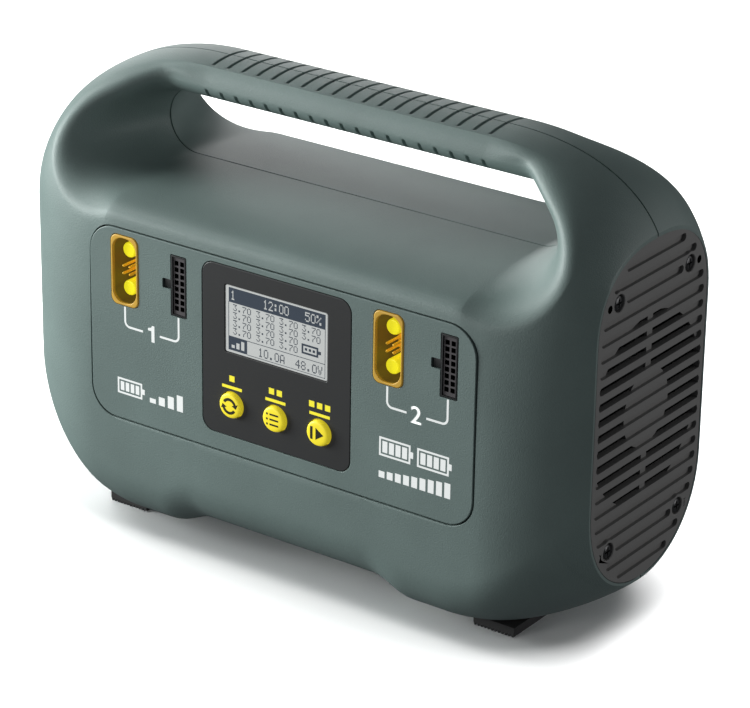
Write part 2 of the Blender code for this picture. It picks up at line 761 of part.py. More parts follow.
def grille_screws(end, sign):
    for index, (_, y, z) in enumerate(grille_screw_places(sign), 1):
        head = HALF_LENGTH - 0.2
        steps = [(2.6, sign * head), (3.4, sign * (head - 0.6)), (3.4, sign * (head - 1.3))]
        steps += [(1.4, sign * (head - 1.31)), (1.4, sign * 136.2)]
        turned(f"grille_screw_{end}_{index}", steps, "X", (y, z), steel(), 10)


def fan(end, sign):
    """A square axial fan: its rotor runs on a stub shaft that stands on the frame's spider."""
    inner, outer = sign * FAN_INNER_X, sign * (FAN_INNER_X + FAN_THICK)
    square = rounded(FAN_SIZE, FAN_SIZE, (0, FAN_Z), 4.0, 2)
    frame = prism(f"fan_frame_{end}", square, "X", *sorted((inner, outer)), black_nylon())
    bore = [(FAN_BORE, sign * 100.0), (FAN_BORE, sign * 160.0)]
    cut(frame, turned(f"fan_bore_{end}", bore, "X", (0, FAN_Z), black_nylon(), 24))
    spider = [turned(f"fan_seat_{end}", [(17.0, inner), (17.0, inner + sign * 2.2)], "X", (0, FAN_Z), black_nylon(), 16)]
    for index in range(4):
        turn = math.pi / 4 + index * math.pi / 2
        ring = []
        for reach in (14.0, 46.5):
            for side in (-2.0, 2.0):
                y = reach * math.cos(turn) - side * math.sin(turn)
                ring.append((y, FAN_Z + reach * math.sin(turn) + side * math.cos(turn)))
        ring = [ring[0], ring[2], ring[3], ring[1]]
        strut = sorted((inner + sign * 0.1, inner + sign * 2.0))
        spider.append(prism(f"fan_strut_{end}_{index}", ring, "X", *strut, black_nylon()))
    shaft = [(2.0, inner + sign * 1.0), (2.0, inner + sign * 12.0)]
    spider.append(turned(f"fan_shaft_{end}", shaft, "X", (0, FAN_Z), black_nylon(), 14))
    join(frame, *spider)
    rotor(end, sign, inner)


def rotor(end, sign, inner):
    near, far = inner + sign * 3.2, inner + sign * 22.0
    profile = [(ROTOR_HUB_RADIUS, near), (ROTOR_HUB_RADIUS, far - sign * 1.5), (ROTOR_HUB_RADIUS - 1.5, far)]
    made = turned(f"fan_rotor_{end}", profile, "X", (0, FAN_Z), black_nylon(), 20)
    blades = []
    for index in range(BLADES):
        turn = 2 * math.pi * index / BLADES
        rings = []
        for reach in (ROTOR_HUB_RADIUS - 4.0, BLADE_RADIUS - 1.2):
            ring = []
            for along, thick in ((-1, -1), (1, -1), (1, 1), (-1, 1)):
                across = along * 8.4 + thick * 0.9
                y = reach * math.cos(turn) - across * math.sin(turn)
                z = reach * math.sin(turn) + across * math.cos(turn)
                ring.append(((near + far) / 2 + sign * along * 7.5, y, FAN_Z + z))
            rings.append(ring)
        blades.append(loft(f"fan_blade_{end}_{index}", rings, black_nylon()))
    join(made, *blades)
    bore = [(2.3, near - sign * 1.0), (2.3, inner + sign * 12.6)]
    cut(made, turned(f"rotor_bore_{end}", bore, "X", (0, FAN_Z), black_nylon(), 14))


# ---------------------------------------------------------------- electronics


def boards():
    block("main_board", (-100.0, -43.4, 60.0), (100.0, -41.8, 150.0), board_green())
    block("power_board", (-100.0, -36.0, BOARD_Z), (100.0, 50.0, BOARD_Z + 1.6), board_green())
    corners = [(x, y) for y in (-STANDOFF_Y, STANDOFF_Y) for x in (-STANDOFF_X, STANDOFF_X)]
    for index, place in enumerate(corners, 1):
        steps = [(3.2, LOBE_Z + WALL + 0.4), (3.2, BOARD_Z - GAP)]
        turned(f"board_standoff_{index}", steps, "Z", place, gold(), 6)


def heatsinks():
    """Two aluminium combs that carry the power transistors."""
    for index, x in enumerate((-47.0, 47.0), 1):
        base = BOARD_Z + 1.6 + GAP
        fins, pitch = 6, 6.0
        outline = [(-15.0, base)]
        for fin in range(fins):
            y = -15.0 + fin * pitch
            outline += [(y, base + 30.0), (y + 1.6, base + 30.0)]
            if fin < fins - 1:
                outline += [(y + 1.6, base + 4.0), (y + pitch, base + 4.0)]
        outline.append((-15.0 + (fins - 1) * pitch + 1.6, base))
        aluminium = finish("aluminium", (0.6, 0.61, 0.62), 0.35, 1.0)
        prism(f"heatsink_{index}", outline, "X", x - 28.0, x + 28.0, aluminium)


def transformer():
    """A closed core with a winding round its middle leg."""
    base = BOARD_Z + 1.6 + GAP
    ferrite = finish("ferrite", (0.05, 0.05, 0.055), 0.5)
    core = block("transformer_core", (-21.0, 25.0, base), (21.0, 39.0, base + 34.0), ferrite)
    windows = []
    for index, x in enumerate((-11.0, 11.0)):
        windows.append(block(f"core_window_{index}", (x - 5, 10.0, base + 6), (x + 5, 50.0, base + 28), ferrite))
    cut(core, *windows)
    tape = finish("winding_tape", (0.75, 0.6, 0.1), 0.5)
    coil = block("transformer_coil", (-14.0, 17.0, base + 6.4), (14.0, 47.0, base + 27.6), tape)
    cut(coil, block("coil_bore", (-6.3, 24.7, base - 5), (6.3, 39.3, base + 40), tape))


def capacitors_and_choke():
    base = BOARD_Z + 1.6 + GAP
    sleeve = finish("capacitor_sleeve", (0.03, 0.03, 0.08), 0.4)
    for index, x in enumerate((50.0, 80.0), 1):
        steps = [(11.5, base), (12.5, base + 1), (12.5, base + 38), (11.5, base + 39)]
        turned(f"bulk_capacitor_{index}", steps, "Z", (x, 33.0), sleeve, 16)
    copper = finish("copper_winding", (0.7, 0.32, 0.14), 0.35, 1.0)
    rings = []
    for step in range(14):
        angle = 2 * math.pi * step / 14
        ring = []
        for side in range(6):
            turn = 2 * math.pi * side / 6
            reach = 10.0 + 4.5 * math.cos(turn)
            ring.append((-40.0 + reach * math.cos(angle), 33.0 + reach * math.sin(angle), base + 5 + 4.5 * math.sin(turn)))
        rings.append(ring)
    points = [p for ring in rings for p in ring]
    faces = []
    for i in range(14):
        j = (i + 1) % 14
        faces += [(i * 6 + k, i * 6 + (k + 1) % 6, j * 6 + (k + 1) % 6, j * 6 + k) for k in range(6)]
    solid("filter_choke", points, faces, copper)


def mains_inlet():
    """A three-blade appliance inlet in the rear shell."""
    x, z = INLET_PLACE
    made = prism("ac_inlet", rounded(27.4, 20.0, (x, z), 2.2, 3), "Y", 38.0, 64.7, black_nylon())
    flange = rounded(31.0, 24.0, (x, z), 3.0, 3)
    join(made, prism("inlet_flange", flange, "Y", HALF_DEPTH + GAP, 64.69, black_nylon()))
    cut(made, prism("inlet_cavity", rounded(24.4, 16.6, (x, z), 1.5, 2), "Y", 46.7, 80.0, black_nylon()))
    carrier = block("ac_inlet_blades", (x - 10.0, 47.0, z - 5.0), (x + 10.0, 48.2, z + 4.8), gold())
    blades = []
    for index, (dx, dz) in enumerate(((-7.0, -2.0), (7.0, -2.0), (0.0, 1.9))):
        low = (x + dx - 1.0, 47.8, z + dz - 2.0)
        blades.append(block(f"inlet_blade_{index}", low, (x + dx + 1.0, 61.5, z + dz + 2.0), gold()))
    join(carrier, *blades)


def main():
    clear_scene()
    front_shell()
    rear_shell()
    case_screws()
    feet()
    front_panel()
    display_bezel()
    display()
    buttons()
    power_sockets()
    balance_sockets()
    for end, sign in ends():
        grille(end, sign)
        grille_screws(end, sign)
        fan(end, sign)
    boards()
    heatsinks()
    transformer()
    capacitors_and_choke()
    mains_inlet()


main()
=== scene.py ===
"""The looks of the two-channel balance charger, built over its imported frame."""

import math

import bmesh
import bpy
import numpy as np
from mathutils import Matrix, Vector


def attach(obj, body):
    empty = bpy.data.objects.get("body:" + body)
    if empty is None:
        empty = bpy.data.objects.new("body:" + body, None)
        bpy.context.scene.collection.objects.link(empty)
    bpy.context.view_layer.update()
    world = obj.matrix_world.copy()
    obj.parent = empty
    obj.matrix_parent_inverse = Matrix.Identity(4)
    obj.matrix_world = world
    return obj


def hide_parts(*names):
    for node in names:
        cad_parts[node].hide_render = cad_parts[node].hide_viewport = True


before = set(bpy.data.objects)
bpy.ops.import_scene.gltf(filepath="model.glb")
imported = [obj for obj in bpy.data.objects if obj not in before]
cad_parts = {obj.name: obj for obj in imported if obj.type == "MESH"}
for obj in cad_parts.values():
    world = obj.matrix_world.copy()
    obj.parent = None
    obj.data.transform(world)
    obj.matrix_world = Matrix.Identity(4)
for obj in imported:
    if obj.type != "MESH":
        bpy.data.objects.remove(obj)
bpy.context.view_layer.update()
MM = 0.001

# ---------------------------------------------------------------- sizes, in millimetres

HALF_LENGTH = 147.9
HALF_DEPTH = 63.1
FRONT = -HALF_DEPTH
END_ARC_X = 103.0
TOP_Z = 212.4
LOBE_Z = 5.0
BELLY_Z = 11.5
WALL = 3.0
END_WALL = 1.0
GAP = 0.3
TOP_CORNER = {"start": 75.0, "reach": 77.7, "drop": 52.4, "power": 2.2}
BOTTOM_CORNER = {"start": 101.1, "radius": 69.0}
BELLY_RAMP = (46.0, 66.0)
SHOULDER_Z = 141.1
SHOULDER_POWER = (2.0, 2.4)
BOTTOM_ROUND = 25.0
END_BOTTOM_ROUND = 45.0
OPENING_Z = 177.65
OPENING_RADIUS = 15.45
OPENING_CORE = 92.05
BAR_HALF_DEPTH = 18.0
BAR_REACH = 9.5
BAND_RADIUS = 150.0
BAND_HALF_WIDTH = 12.8
SEAM = 0.8
SPREAD_X = 112.0

PANEL = (205.0, 90.4, 0.0, 101.5, 13.2)
PANEL_GROOVE = 0.7
BEZEL = (79.2, 79.2, 0.0, 104.2, 6.0)
SCREEN = (54.8, 31.4, 0.0, 119.7, 1.0)
BUTTON_X = {"channel": -23.57, "mode": 0.0, "start": 23.57}
BUTTON_Z = 79.7
BUTTON_RADIUS = 5.8
BUTTON_HOLE = 6.2
BUTTON_PROUD = 2.04
SOCKET_X = (-82.8, 58.7)
PORT_X = (-52.7, 89.3)
SOCKET_Z = 127.5
SOCKET_SIZE = (15.1, 32.7)
SOCKET_PROUD = 0.4
CAVITY_DEPTH = 13.5
PORT_SIZE = (8.2, 28.1)
BULLET_SPREAD = 8.9
BULLET_RADIUS = 3.5
BULLET_SUNK = 3.0
SIGNAL_PITCH = 3.55
CONTACT_ROWS = 8
CONTACT_PITCH = 3.0
CONTACT_COLUMNS_APART = 3.05

GRIP_GROOVES = 19
GRIP_PITCH = 8.1
GRILLE_MARGIN = 1.3
GRILLE_THICK = 3.0
FAN_Z = 102.8
SLOT_TOP_Z = 172.6
SLOT_PITCH = 7.02
SLOT_ROWS = 21
SLOT_HALF_HEIGHT = 1.8
GROOVE_DEPTH = 1.7
HUB_RADIUS = 17.5
RING_RADIUS = 42.5
CENTRE_RIB = 2.1
SCREW_Y = 27.8
SCREW_RISE = 56.1
BEHIND_GRILLE = 140.0
BEYOND_END = 155.0
CASE_SCREWS = [(x, z) for z in (36.0, 140.0) for x in (-109.3, 109.3)]
INLET = (-72.0, 46.0)
FOOT_X = 100.9
FOOT_WIDTH = 21.2
FOOT_HEIGHT = 4.7
FOOT_RIBS = 12

# ---------------------------------------------------------------- materials


def node(tree, kind, **values):
    made = tree.nodes.new(kind)
    for key, value in values.items():
        if key in made.inputs:
            made.inputs[key].default_value = value
        else:
            setattr(made, key, value)
    return made


def plastic(name, colour, roughness=0.5, grain=0.5, bump=0.12, mottle=0.06, metallic=0.0, specular=0.5,
            painted_glow=0.0):
    """Moulded or plated surface: a fine grain in its height and gloss, and a slow drift in its colour.
    grain is the size of the texture in millimetres, and the glow is painted light: the surface gives off
    light in its own colour, though it is no lamp, so that it stands brighter than the lamps make it."""
    made = bpy.data.materials.new(name)
    made.use_nodes = True
    tree = made.node_tree
    shader = tree.nodes["Principled BSDF"]
    shader.inputs["Metallic"].default_value = metallic
    shader.inputs["Specular IOR Level"].default_value = specular
    # painted light: the surface glows in its own colour, though it is no lamp
    shader.inputs["Emission Color"].default_value = (*colour, 1.0)
    shader.inputs["Emission Strength"].default_value = painted_glow
    place = node(tree, "ShaderNodeTexCoord")
    fine = node(tree, "ShaderNodeTexNoise", Scale=1000.0 / grain, Detail=3.0, Roughness=0.6)
    broad = node(tree, "ShaderNodeTexNoise", Scale=28.0, Detail=2.0, Roughness=0.5)
    for texture in (fine, broad):
        tree.links.new(place.outputs["Object"], texture.inputs["Vector"])
    shades = node(tree, "ShaderNodeValToRGB")
    for stop, share in zip(shades.color_ramp.elements, (1 - mottle, 1 + mottle)):
        stop.color = (*[min(c * share, 1.0) for c in colour], 1.0)
    shades.color_ramp.elements[0].position = 0.3
    shades.color_ramp.elements[1].position = 0.7
    blend = node(tree, "ShaderNodeMix", Factor=0.45)
    tree.links.new(broad.outputs["Fac"], blend.inputs[2])
    tree.links.new(fine.outputs["Fac"], blend.inputs[3])
    tree.links.new(blend.outputs[0], shades.inputs["Fac"])
    tree.links.new(shades.outputs["Color"], shader.inputs["Base Color"])
    gloss = node(tree, "ShaderNodeMapRange")
    gloss.inputs["To Min"].default_value = roughness - 0.06
    gloss.inputs["To Max"].default_value = roughness + 0.06
    tree.links.new(fine.outputs["Fac"], gloss.inputs["Value"])
    tree.links.new(gloss.outputs["Result"], shader.inputs["Roughness"])
    raised = node(tree, "ShaderNodeBump", Strength=bump, Distance=0.0002)
    tree.links.new(fine.outputs["Fac"], raised.inputs["Height"])
    tree.links.new(raised.outputs["Normal"], shader.inputs["Normal"])
    return made


def painted_shade_by_depth(made, colour, near, far):
    """Paints shade on a surface, darker with its depth behind the panel: a painted shadow for the shade deep
    inside a socket.
    """
    tree = made.node_tree
    shader = tree.nodes["Principled BSDF"]
    place = tree.nodes["Texture Coordinate"]
    split = node(tree, "ShaderNodeSeparateXYZ")
    tree.links.new(place.outputs["Object"], split.inputs["Vector"])
    depth = node(tree, "ShaderNodeMapRange")
    depth.inputs["From Min"].default_value = near * MM
    depth.inputs["From Max"].default_value = far * MM
    tree.links.new(split.outputs["Y"], depth.inputs["Value"])
    mix = node(tree, "ShaderNodeMix", data_type="RGBA")
    source = shader.inputs["Base Color"].links[0].from_socket
    tree.links.new(depth.outputs["Result"], mix.inputs["Factor"])
    tree.links.new(source, mix.inputs["A"])
    mix.inputs["B"].default_value = (*colour, 1.0)
    tree.links.new(mix.outputs["Result"], shader.inputs["Base Color"])
    return made


CASE_COLOUR = (0.205, 0.272, 0.258)
# The glow given below to the buttons, socket, pins, display cell and inks is painted light, which makes them
# brighter than the lamps do.
M = {
    "case": plastic("case_plastic", CASE_COLOUR, 0.46, 0.6, 0.7, 0.1),
    "bezel": plastic("bezel_plastic", (0.048, 0.048, 0.049), 0.42, 0.4, 0.06),
    # painted light: the grille's colour is lighter than its own dark grey, standing in for light on its
    # shaded end
    "grille": plastic("grille_plastic", (0.23, 0.225, 0.22), 0.5, 0.5, 0.4),
    "button": plastic("button_silicone", (0.97, 0.80, 0.035), 0.42, 0.35, 0.05, 0.03, painted_glow=0.42),
    "socket": plastic("socket_nylon", (0.82, 0.48, 0.07), 0.42, 0.5, 0.06, 0.05, painted_glow=0.08),
    "bullet": plastic("bullet_plating", (1.0, 0.90, 0.02), 0.3, 0.4, 0.03, 0.03, metallic=0.1, painted_glow=0.55),
    "signal": plastic("signal_plating", (0.97, 0.52, 0.03), 0.28, 0.4, 0.03, 0.05, metallic=0.2, painted_glow=0.25),
    "nylon": plastic("black_nylon", (0.014, 0.015, 0.016), 0.5, 0.4, 0.1),
    "port_face": plastic("port_face_nylon", (0.10, 0.09, 0.095), 0.55, 0.4, 0.1),
    "steel": plastic("blackened_steel", (0.06, 0.06, 0.062), 0.35, 0.3, 0.1, 0.1, metallic=0.7),
    "rubber": plastic("foot_rubber", (0.03, 0.029, 0.029), 0.75, 0.6, 0.25, 0.1),
    "lcd": plastic("lcd_cell", (0.60, 0.61, 0.60), 0.22, 0.3, 0.0, 0.015, painted_glow=0.32),
    "lcd_ink": plastic("lcd_ink", (0.075, 0.095, 0.13), 0.35, 0.3, 0.0, 0.05),
    "white_ink": plastic("white_ink", (0.83, 0.85, 0.84), 0.5, 0.3, 0.05, 0.02, painted_glow=0.42),
    "yellow_ink": plastic("yellow_ink", (0.95, 0.84, 0.04), 0.5, 0.3, 0.05, 0.02, painted_glow=0.42),
    "dark_ink": plastic("dark_ink", (0.03, 0.028, 0.01), 0.5, 0.3, 0.05, 0.05),
    "board": plastic("solder_mask", (0.02, 0.15, 0.06), 0.3, 1.4, 0.1, 0.15),
    "brass": plastic("plated_brass", (0.85, 0.6, 0.2), 0.3, 0.4, 0.05, 0.06, metallic=1.0),
    "aluminium": plastic("extruded_aluminium", (0.6, 0.61, 0.62), 0.38, 0.3, 0.1, 0.05, metallic=1.0),
    "ferrite": plastic("ferrite", (0.05, 0.05, 0.055), 0.6, 0.6, 0.3, 0.15),
    "tape": plastic("winding_tape", (0.75, 0.6, 0.1), 0.45, 0.8, 0.1),
    "sleeve": plastic("capacitor_sleeve", (0.03, 0.03, 0.08), 0.3, 0.5, 0.05),
    "copper": plastic("enamelled_copper", (0.7, 0.32, 0.14), 0.3, 0.9, 0.3, 0.12, metallic=1.0),
}
# painted shade: the socket cavity's walls are darkened towards its floor, standing for the shade inside it
painted_shade_by_depth(M["socket"], (0.05, 0.036, 0.005), FRONT - 0.1, FRONT + 1.4)

# ---------------------------------------------------------------- meshes


def mesh_object(name, points, faces, material, smooth=True):
    mesh = bpy.data.meshes.new(name)
    mesh.from_pydata((np.asarray(points, float) * MM).tolist(), [], [tuple(f) for f in faces])
    shape = bmesh.new()
    shape.from_mesh(mesh)
    bmesh.ops.recalc_face_normals(shape, faces=shape.faces)
    shape.to_mesh(mesh)
    shape.free()
    if smooth:
        mesh.shade_smooth()
    mesh.materials.append(material)
    made = bpy.data.objects.new(name, mesh)
    bpy.context.scene.collection.objects.link(made)
    return made


def placed(outline, height, axis):
    if axis == "Y":
        return [(a, height, b) for a, b in outline]
    if axis == "X":
        return [(height, a, b) for a, b in outline]
    return [(a, b, height) for a, b in outline]


def loft(name, rings, material, closed=False):
    """A solid through rings of equal count, capped at both ends, or closed on itself."""
    count = len(rings[0])
    points = [p for ring in rings for p in ring]
    levels = len(rings)
    faces = []
    for level in range(levels if closed else levels - 1):
        low = level * count
        high = (level + 1) % levels * count
        faces += [(low + i, low + (i + 1) % count, high + (i + 1) % count, high + i) for i in range(count)]
    if not closed:
        faces += [tuple(range(count)), tuple(range((levels - 1) * count, levels * count))]
    return mesh_object(name, points, faces, material)


def prism(name, outline, axis, low, high, material):
    return loft(name, [placed(outline, low, axis), placed(outline, high, axis)], material)


def turned(name, profile, axis, centre, material, sides=48):
    rings = []
    for radius, height in profile:
        angles = [2 * math.pi * i / sides for i in range(sides)]
        ring = [(centre[0] + radius * math.cos(a), centre[1] + radius * math.sin(a)) for a in angles]
        rings.append(placed(ring, height, axis))
    return loft(name, rings, material)


def rounded(width, height, x, z, radius, steps=8):
    radius = max(radius, 0.02)
    outline = []
    for quarter in range(4):
        across = 1 if quarter in (0, 3) else -1
        up = 1 if quarter in (0, 1) else -1
        middle = (x + across * (width / 2 - radius), z + up * (height / 2 - radius))
        for step in range(steps + 1):
            angle = math.pi / 2 * (quarter + step / steps)
            outline.append((middle[0] + radius * math.cos(angle), middle[1] + radius * math.sin(angle)))
    return outline


def grown(shape, margin):
    """A rounded rectangle's arguments, made larger all round."""
    width, height, x, z, radius = shape
    return width + 2 * margin, height + 2 * margin, x, z, radius + margin


def lip(radius, steps=3):
    """A rounded edge, as (distance behind the face, distance in from the side)."""
    angles = [math.pi / 2 * s / steps for s in range(steps + 1)]
    return [(radius * (1 - math.cos(a)), radius * (1 - math.sin(a))) for a in angles]


def plate(name, shape, front, back, edge, material):
    """A flat plate facing -Y with a rounded front edge. shape is the arguments of rounded()."""
    rings = [placed(rounded(*grown(shape, -inset)), front + behind, "Y") for behind, inset in lip(edge)]
    rings.append(placed(rounded(*shape), back, "Y"))
    return loft(name, rings, material)


def window(name, shape, front, back, edge):
    """A cutter for a window through a plate, which leaves a rounded edge round it."""
    rings = [placed(rounded(*grown(shape, edge)), front - 2.0, "Y")]
    rings += [placed(rounded(*grown(shape, inset)), front + behind, "Y") for behind, inset in lip(edge)]
    rings.append(placed(rounded(*shape), back, "Y"))
    return loft(name, rings, M["nylon"])


def boolean(target, tools, operation="DIFFERENCE", solver="MANIFOLD"):
    for tool in tools:
        step = target.modifiers.new(tool.name, "BOOLEAN")
        step.operation = operation
        step.solver = solver
        step.object = tool
    graph = bpy.context.evaluated_depsgraph_get()
    graph.update()
    mesh = bpy.data.meshes.new_from_object(target.evaluated_get(graph))
    target.modifiers.clear()
    target.data = mesh
    for tool in tools:
        bpy.data.objects.remove(tool, do_unlink=True)
    return target


def softened(made, angle=40.0, weighted=True):
    """Smooth shading up to an angle, with large flat faces kept flat."""
    made.data.shade_smooth()
    made.data.set_sharp_from_angle(angle=math.radians(angle))
    if weighted:
        step = made.modifiers.new("flat faces", "WEIGHTED_NORMAL")
        step.keep_sharp = True
        step.weight = 100
    return made


def settle(made, slot, *nodes, body="case"):
    """Puts a finished piece on its body, in place of the CAD nodes it stands for."""
    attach(made, body)
    if nodes:
        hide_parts(*nodes)
    return made


# ---------------------------------------------------------------- the case's surface


def smooth_step(low, high, value):
    share = np.clip((value - low) / (high - low), 0.0, 1.0)
    return share * share * (3 - 2 * share)


def top_z(x):
    share = np.clip((np.abs(x) - TOP_CORNER["start"]) / TOP_CORNER["reach"], 0.0, 1.0)
    power = TOP_CORNER["power"]
    return TOP_Z - TOP_CORNER["drop"] * (1 - (1 - share**power) ** (1 / power))


def bottom_z(x):
    lift = (BELLY_Z - LOBE_Z) * (1 - smooth_step(*BELLY_RAMP, np.abs(x)))
    radius = BOTTOM_CORNER["radius"]
    beyond = np.clip(np.abs(x) - BOTTOM_CORNER["start"], 0.0, radius)
    return LOBE_Z + lift + radius - np.sqrt(radius**2 - beyond**2)


def plan_depth(x):
    beyond = np.maximum(np.abs(x) - END_ARC_X, 0.0)
    return np.sqrt(np.maximum(HALF_DEPTH**2 - beyond**2, 0.0))


def soft_min(first, second, width):
    overlap = np.maximum(width - np.abs(first - second), 0.0) / width
    return np.minimum(first, second) - overlap * overlap * width / 4


def bar_depth(drop):
    """A slightly crowned band along the top of the handle, then its side."""
    band = np.sqrt(np.maximum(BAND_RADIUS**2 - (BAND_RADIUS - drop) ** 2, 0.0))
    side = BAND_HALF_WIDTH + 0.85 * drop - 0.024 * drop**2
    return soft_min(band, side, 4.0)


def flat_half_width(x):
    return (HALF_DEPTH - BOTTOM_ROUND) * (1 - smooth_step(85.0, HALF_LENGTH, np.abs(x)))


def outer_depth(x, z):
    widest = plan_depth(x)
    towards_end = smooth_step(85.0, HALF_LENGTH, np.abs(x))
    reach = BOTTOM_ROUND + (END_BOTTOM_ROUND - BOTTOM_ROUND) * towards_end
    edge = flat_half_width(x)
    share = 1 - np.clip(z - bottom_z(x), 0.0, reach) / reach
    depth = edge + (widest - edge) * (1 - share**2.1) ** (1 / 2.1)
    drop = np.maximum(top_z(x) - z, 0.0)
    share = np.clip((z - SHOULDER_Z) / (top_z(x) - SHOULDER_Z), 0.0, 1.0)
    power = SHOULDER_POWER[0] + (SHOULDER_POWER[1] - SHOULDER_POWER[0]) * smooth_step(105.0, 140.0, np.abs(x))
    arm = widest * (1 - share**power) ** (1 / power)
    bar = np.minimum(bar_depth(np.minimum(drop, 20.0)) + 2.0 * np.maximum(drop - 20.0, 0.0), arm)
    bar = np.where(drop < 60, bar, arm)
    crown = bar + (arm - bar) * smooth_step(72.0, 114.0, np.abs(x))
    return np.where(z > SHOULDER_Z, np.minimum(depth, crown), depth)


def half_depth(x, z):
    """Half the depth of the case: its outside, hollowed by the horn that flares from the handle's opening."""
    across = np.maximum(np.abs(x) - OPENING_CORE, 0.0)
    rise = z - OPENING_Z
    away = np.maximum(np.hypot(across, rise), 1e-9)
    turn = across / away
    above = rise > 0
    depth = np.where(above, BAR_HALF_DEPTH + 54.4 * turn**2.0, 70.0 + 2.4 * turn)
    reach = np.where(above, BAR_REACH + 19.5 * turn**1.2, 14.0 + 15.0 * turn**1.5)
    blend = np.where(above, 3.0 + 29.0 * turn**1.2, 8.0 + 24.0 * turn)
    share = np.clip((away - OPENING_RADIUS) / reach, 0.0, 1.0)
    power = 2.0 - 0.95 * turn**1.8
    horn = depth * np.maximum(1 - (1 - share) ** power, 0.0) ** (1 / power)
    outer = outer_depth(x, z)
    edge = np.maximum(np.minimum(np.minimum(blend, 2 * horn), 2 * np.maximum(outer, 0.01)), 1e-3)
    return np.maximum(soft_min(outer, horn, edge), 0.0)


def end_z(share):
    high, low = top_z(HALF_LENGTH), bottom_z(HALF_LENGTH)
    return (high + low) / 2 + (high - low) / 2 * math.cos(share * math.pi)


def grip_places():
    return [(index - (GRIP_GROOVES - 1) / 2) * GRIP_PITCH for index in range(GRIP_GROOVES)]


def stations():
    """Pairs of places, (on the opening, on the outside), once round from the top middle."""
    bar = set(np.linspace(74.5, OPENING_CORE, 12, endpoint=False))
    for place in grip_places():
        bar |= {place + shift for shift in (-2.2, -0.95, -0.6, -0.3, 0.0, 0.3, 0.6, 0.95, 2.2)}
    half = []
    for x in sorted(x for x in bar if x > -1e-9):
        spread = (SPREAD_X - OPENING_CORE) * float(smooth_step(74.0, OPENING_CORE, x))
        half.append(((x, OPENING_Z + OPENING_RADIUS), (x + spread, float(top_z(x + spread)))))
    corner = [SPREAD_X + (HALF_LENGTH - SPREAD_X) * math.sin(s / 24 * math.pi / 2) for s in range(24)]
    outers = [(x, float(top_z(x))) for x in corner]
    outers += [(HALF_LENGTH, float(end_z(s / 72))) for s in range(73)]
    outers += [(x, float(bottom_z(x))) for x in reversed(corner)]
    for step, outer in enumerate(outers):
        angle = math.pi / 2 - math.pi * step / (len(outers) - 1)
        across = OPENING_CORE + OPENING_RADIUS * math.cos(angle)
        half.append(((across, OPENING_Z + OPENING_RADIUS * math.sin(angle)), outer))
    for x in np.linspace(SPREAD_X, 0.0, 41)[1:]:
        half.append(((OPENING_CORE * x / SPREAD_X, OPENING_Z - OPENING_RADIUS), (x, float(bottom_z(x)))))
    mirrored = [((-a[0], a[1]), (-b[0], b[1])) for a, b in reversed(half[1:-1])]
    return half + mirrored


def wall(x):
    return WALL + (END_WALL - WALL) * smooth_step(136.0, HALF_LENGTH, np.abs(x))


def section(inner, outer, parting, hollow, steps):
    at_end = abs(outer[0]) > HALF_LENGTH - 1e-6
    ahead = np.array(outer) - np.array(inner)
    ahead /= np.linalg.norm(ahead)
    if hollow:
        inner = np.array(inner) + WALL * ahead
        outer = np.array(outer) - (0 if at_end else WALL) * ahead
    share = 0.5 - 0.5 * np.cos(math.pi * np.linspace(0, 1, 321))
    x = inner[0] + (outer[0] - inner[0]) * share
    z = inner[1] + (outer[1] - inner[1]) * share
    if hollow:
        depths = []
        for degrees in range(-90, 91, 30):
            turn = math.radians(degrees)
            reach = wall(x) * math.sin(turn)
            depths.append(half_depth(x + reach * ahead[0], z + reach * ahead[1]) - wall(x) * math.cos(turn))
        y = np.min(depths, axis=0)
    else:
        y = half_depth(x, z)
    path = np.column_stack([x, y, z])
    if y[-1] > parting and not at_end:
        falling = path[-1] * np.ones((24, 1))
        falling[:, 1] *= 1 - np.arange(1, 25) / 24
        path = np.vstack([path, falling])
    path[:, 1] = np.maximum(path[:, 1], parting)
    path[0, 1] = parting
    legs = np.linalg.norm(np.diff(path, axis=0), axis=1)
    headings = np.diff(path, axis=0) / np.maximum(legs, 1e-9)[:, None]
    turns = np.zeros(len(legs))
    bends = np.clip((headings[1:] * headings[:-1]).sum(axis=1), -1, 1)
    counted = (path[1:-1, 1] > parting + 1e-6) & (legs[1:] > 1e-6) & (legs[:-1] > 1e-6)
    turns[1:] = np.where(counted, np.arccos(bends), 0)
    weight = np.concatenate([[0], np.cumsum(legs + 8.0 * turns)])
    run = np.concatenate([[0], np.cumsum(legs)]) / legs.sum()
    return path, run, np.interp(np.linspace(0, weight[-1], steps + 1), weight, run)


def surface_grid(parting, hollow, steps):
    high, low = float(top_z(HALF_LENGTH)), float(bottom_z(HALF_LENGTH))
    middle = (high + low) / 2
    shrink = (high - middle - END_WALL) / (high - middle)
    rows = []
    for inner, outer in stations():
        if hollow and abs(outer[0]) > HALF_LENGTH - 1e-6:
            outer = (outer[0], middle + (outer[1] - middle) * shrink)
        rows.append(section(inner, outer, parting, hollow, steps))
    spots = np.array([row[2] for row in rows])
    for _ in range(8):
        spots = (np.roll(spots, 1, axis=0) + 2 * spots + np.roll(spots, -1, axis=0)) / 4
    grid = [[np.interp(spot, run, path[:, axis]) for axis in range(3)]
            for spot, (path, run, _) in zip(spots, rows)]
    return np.array(grid).transpose(0, 2, 1)


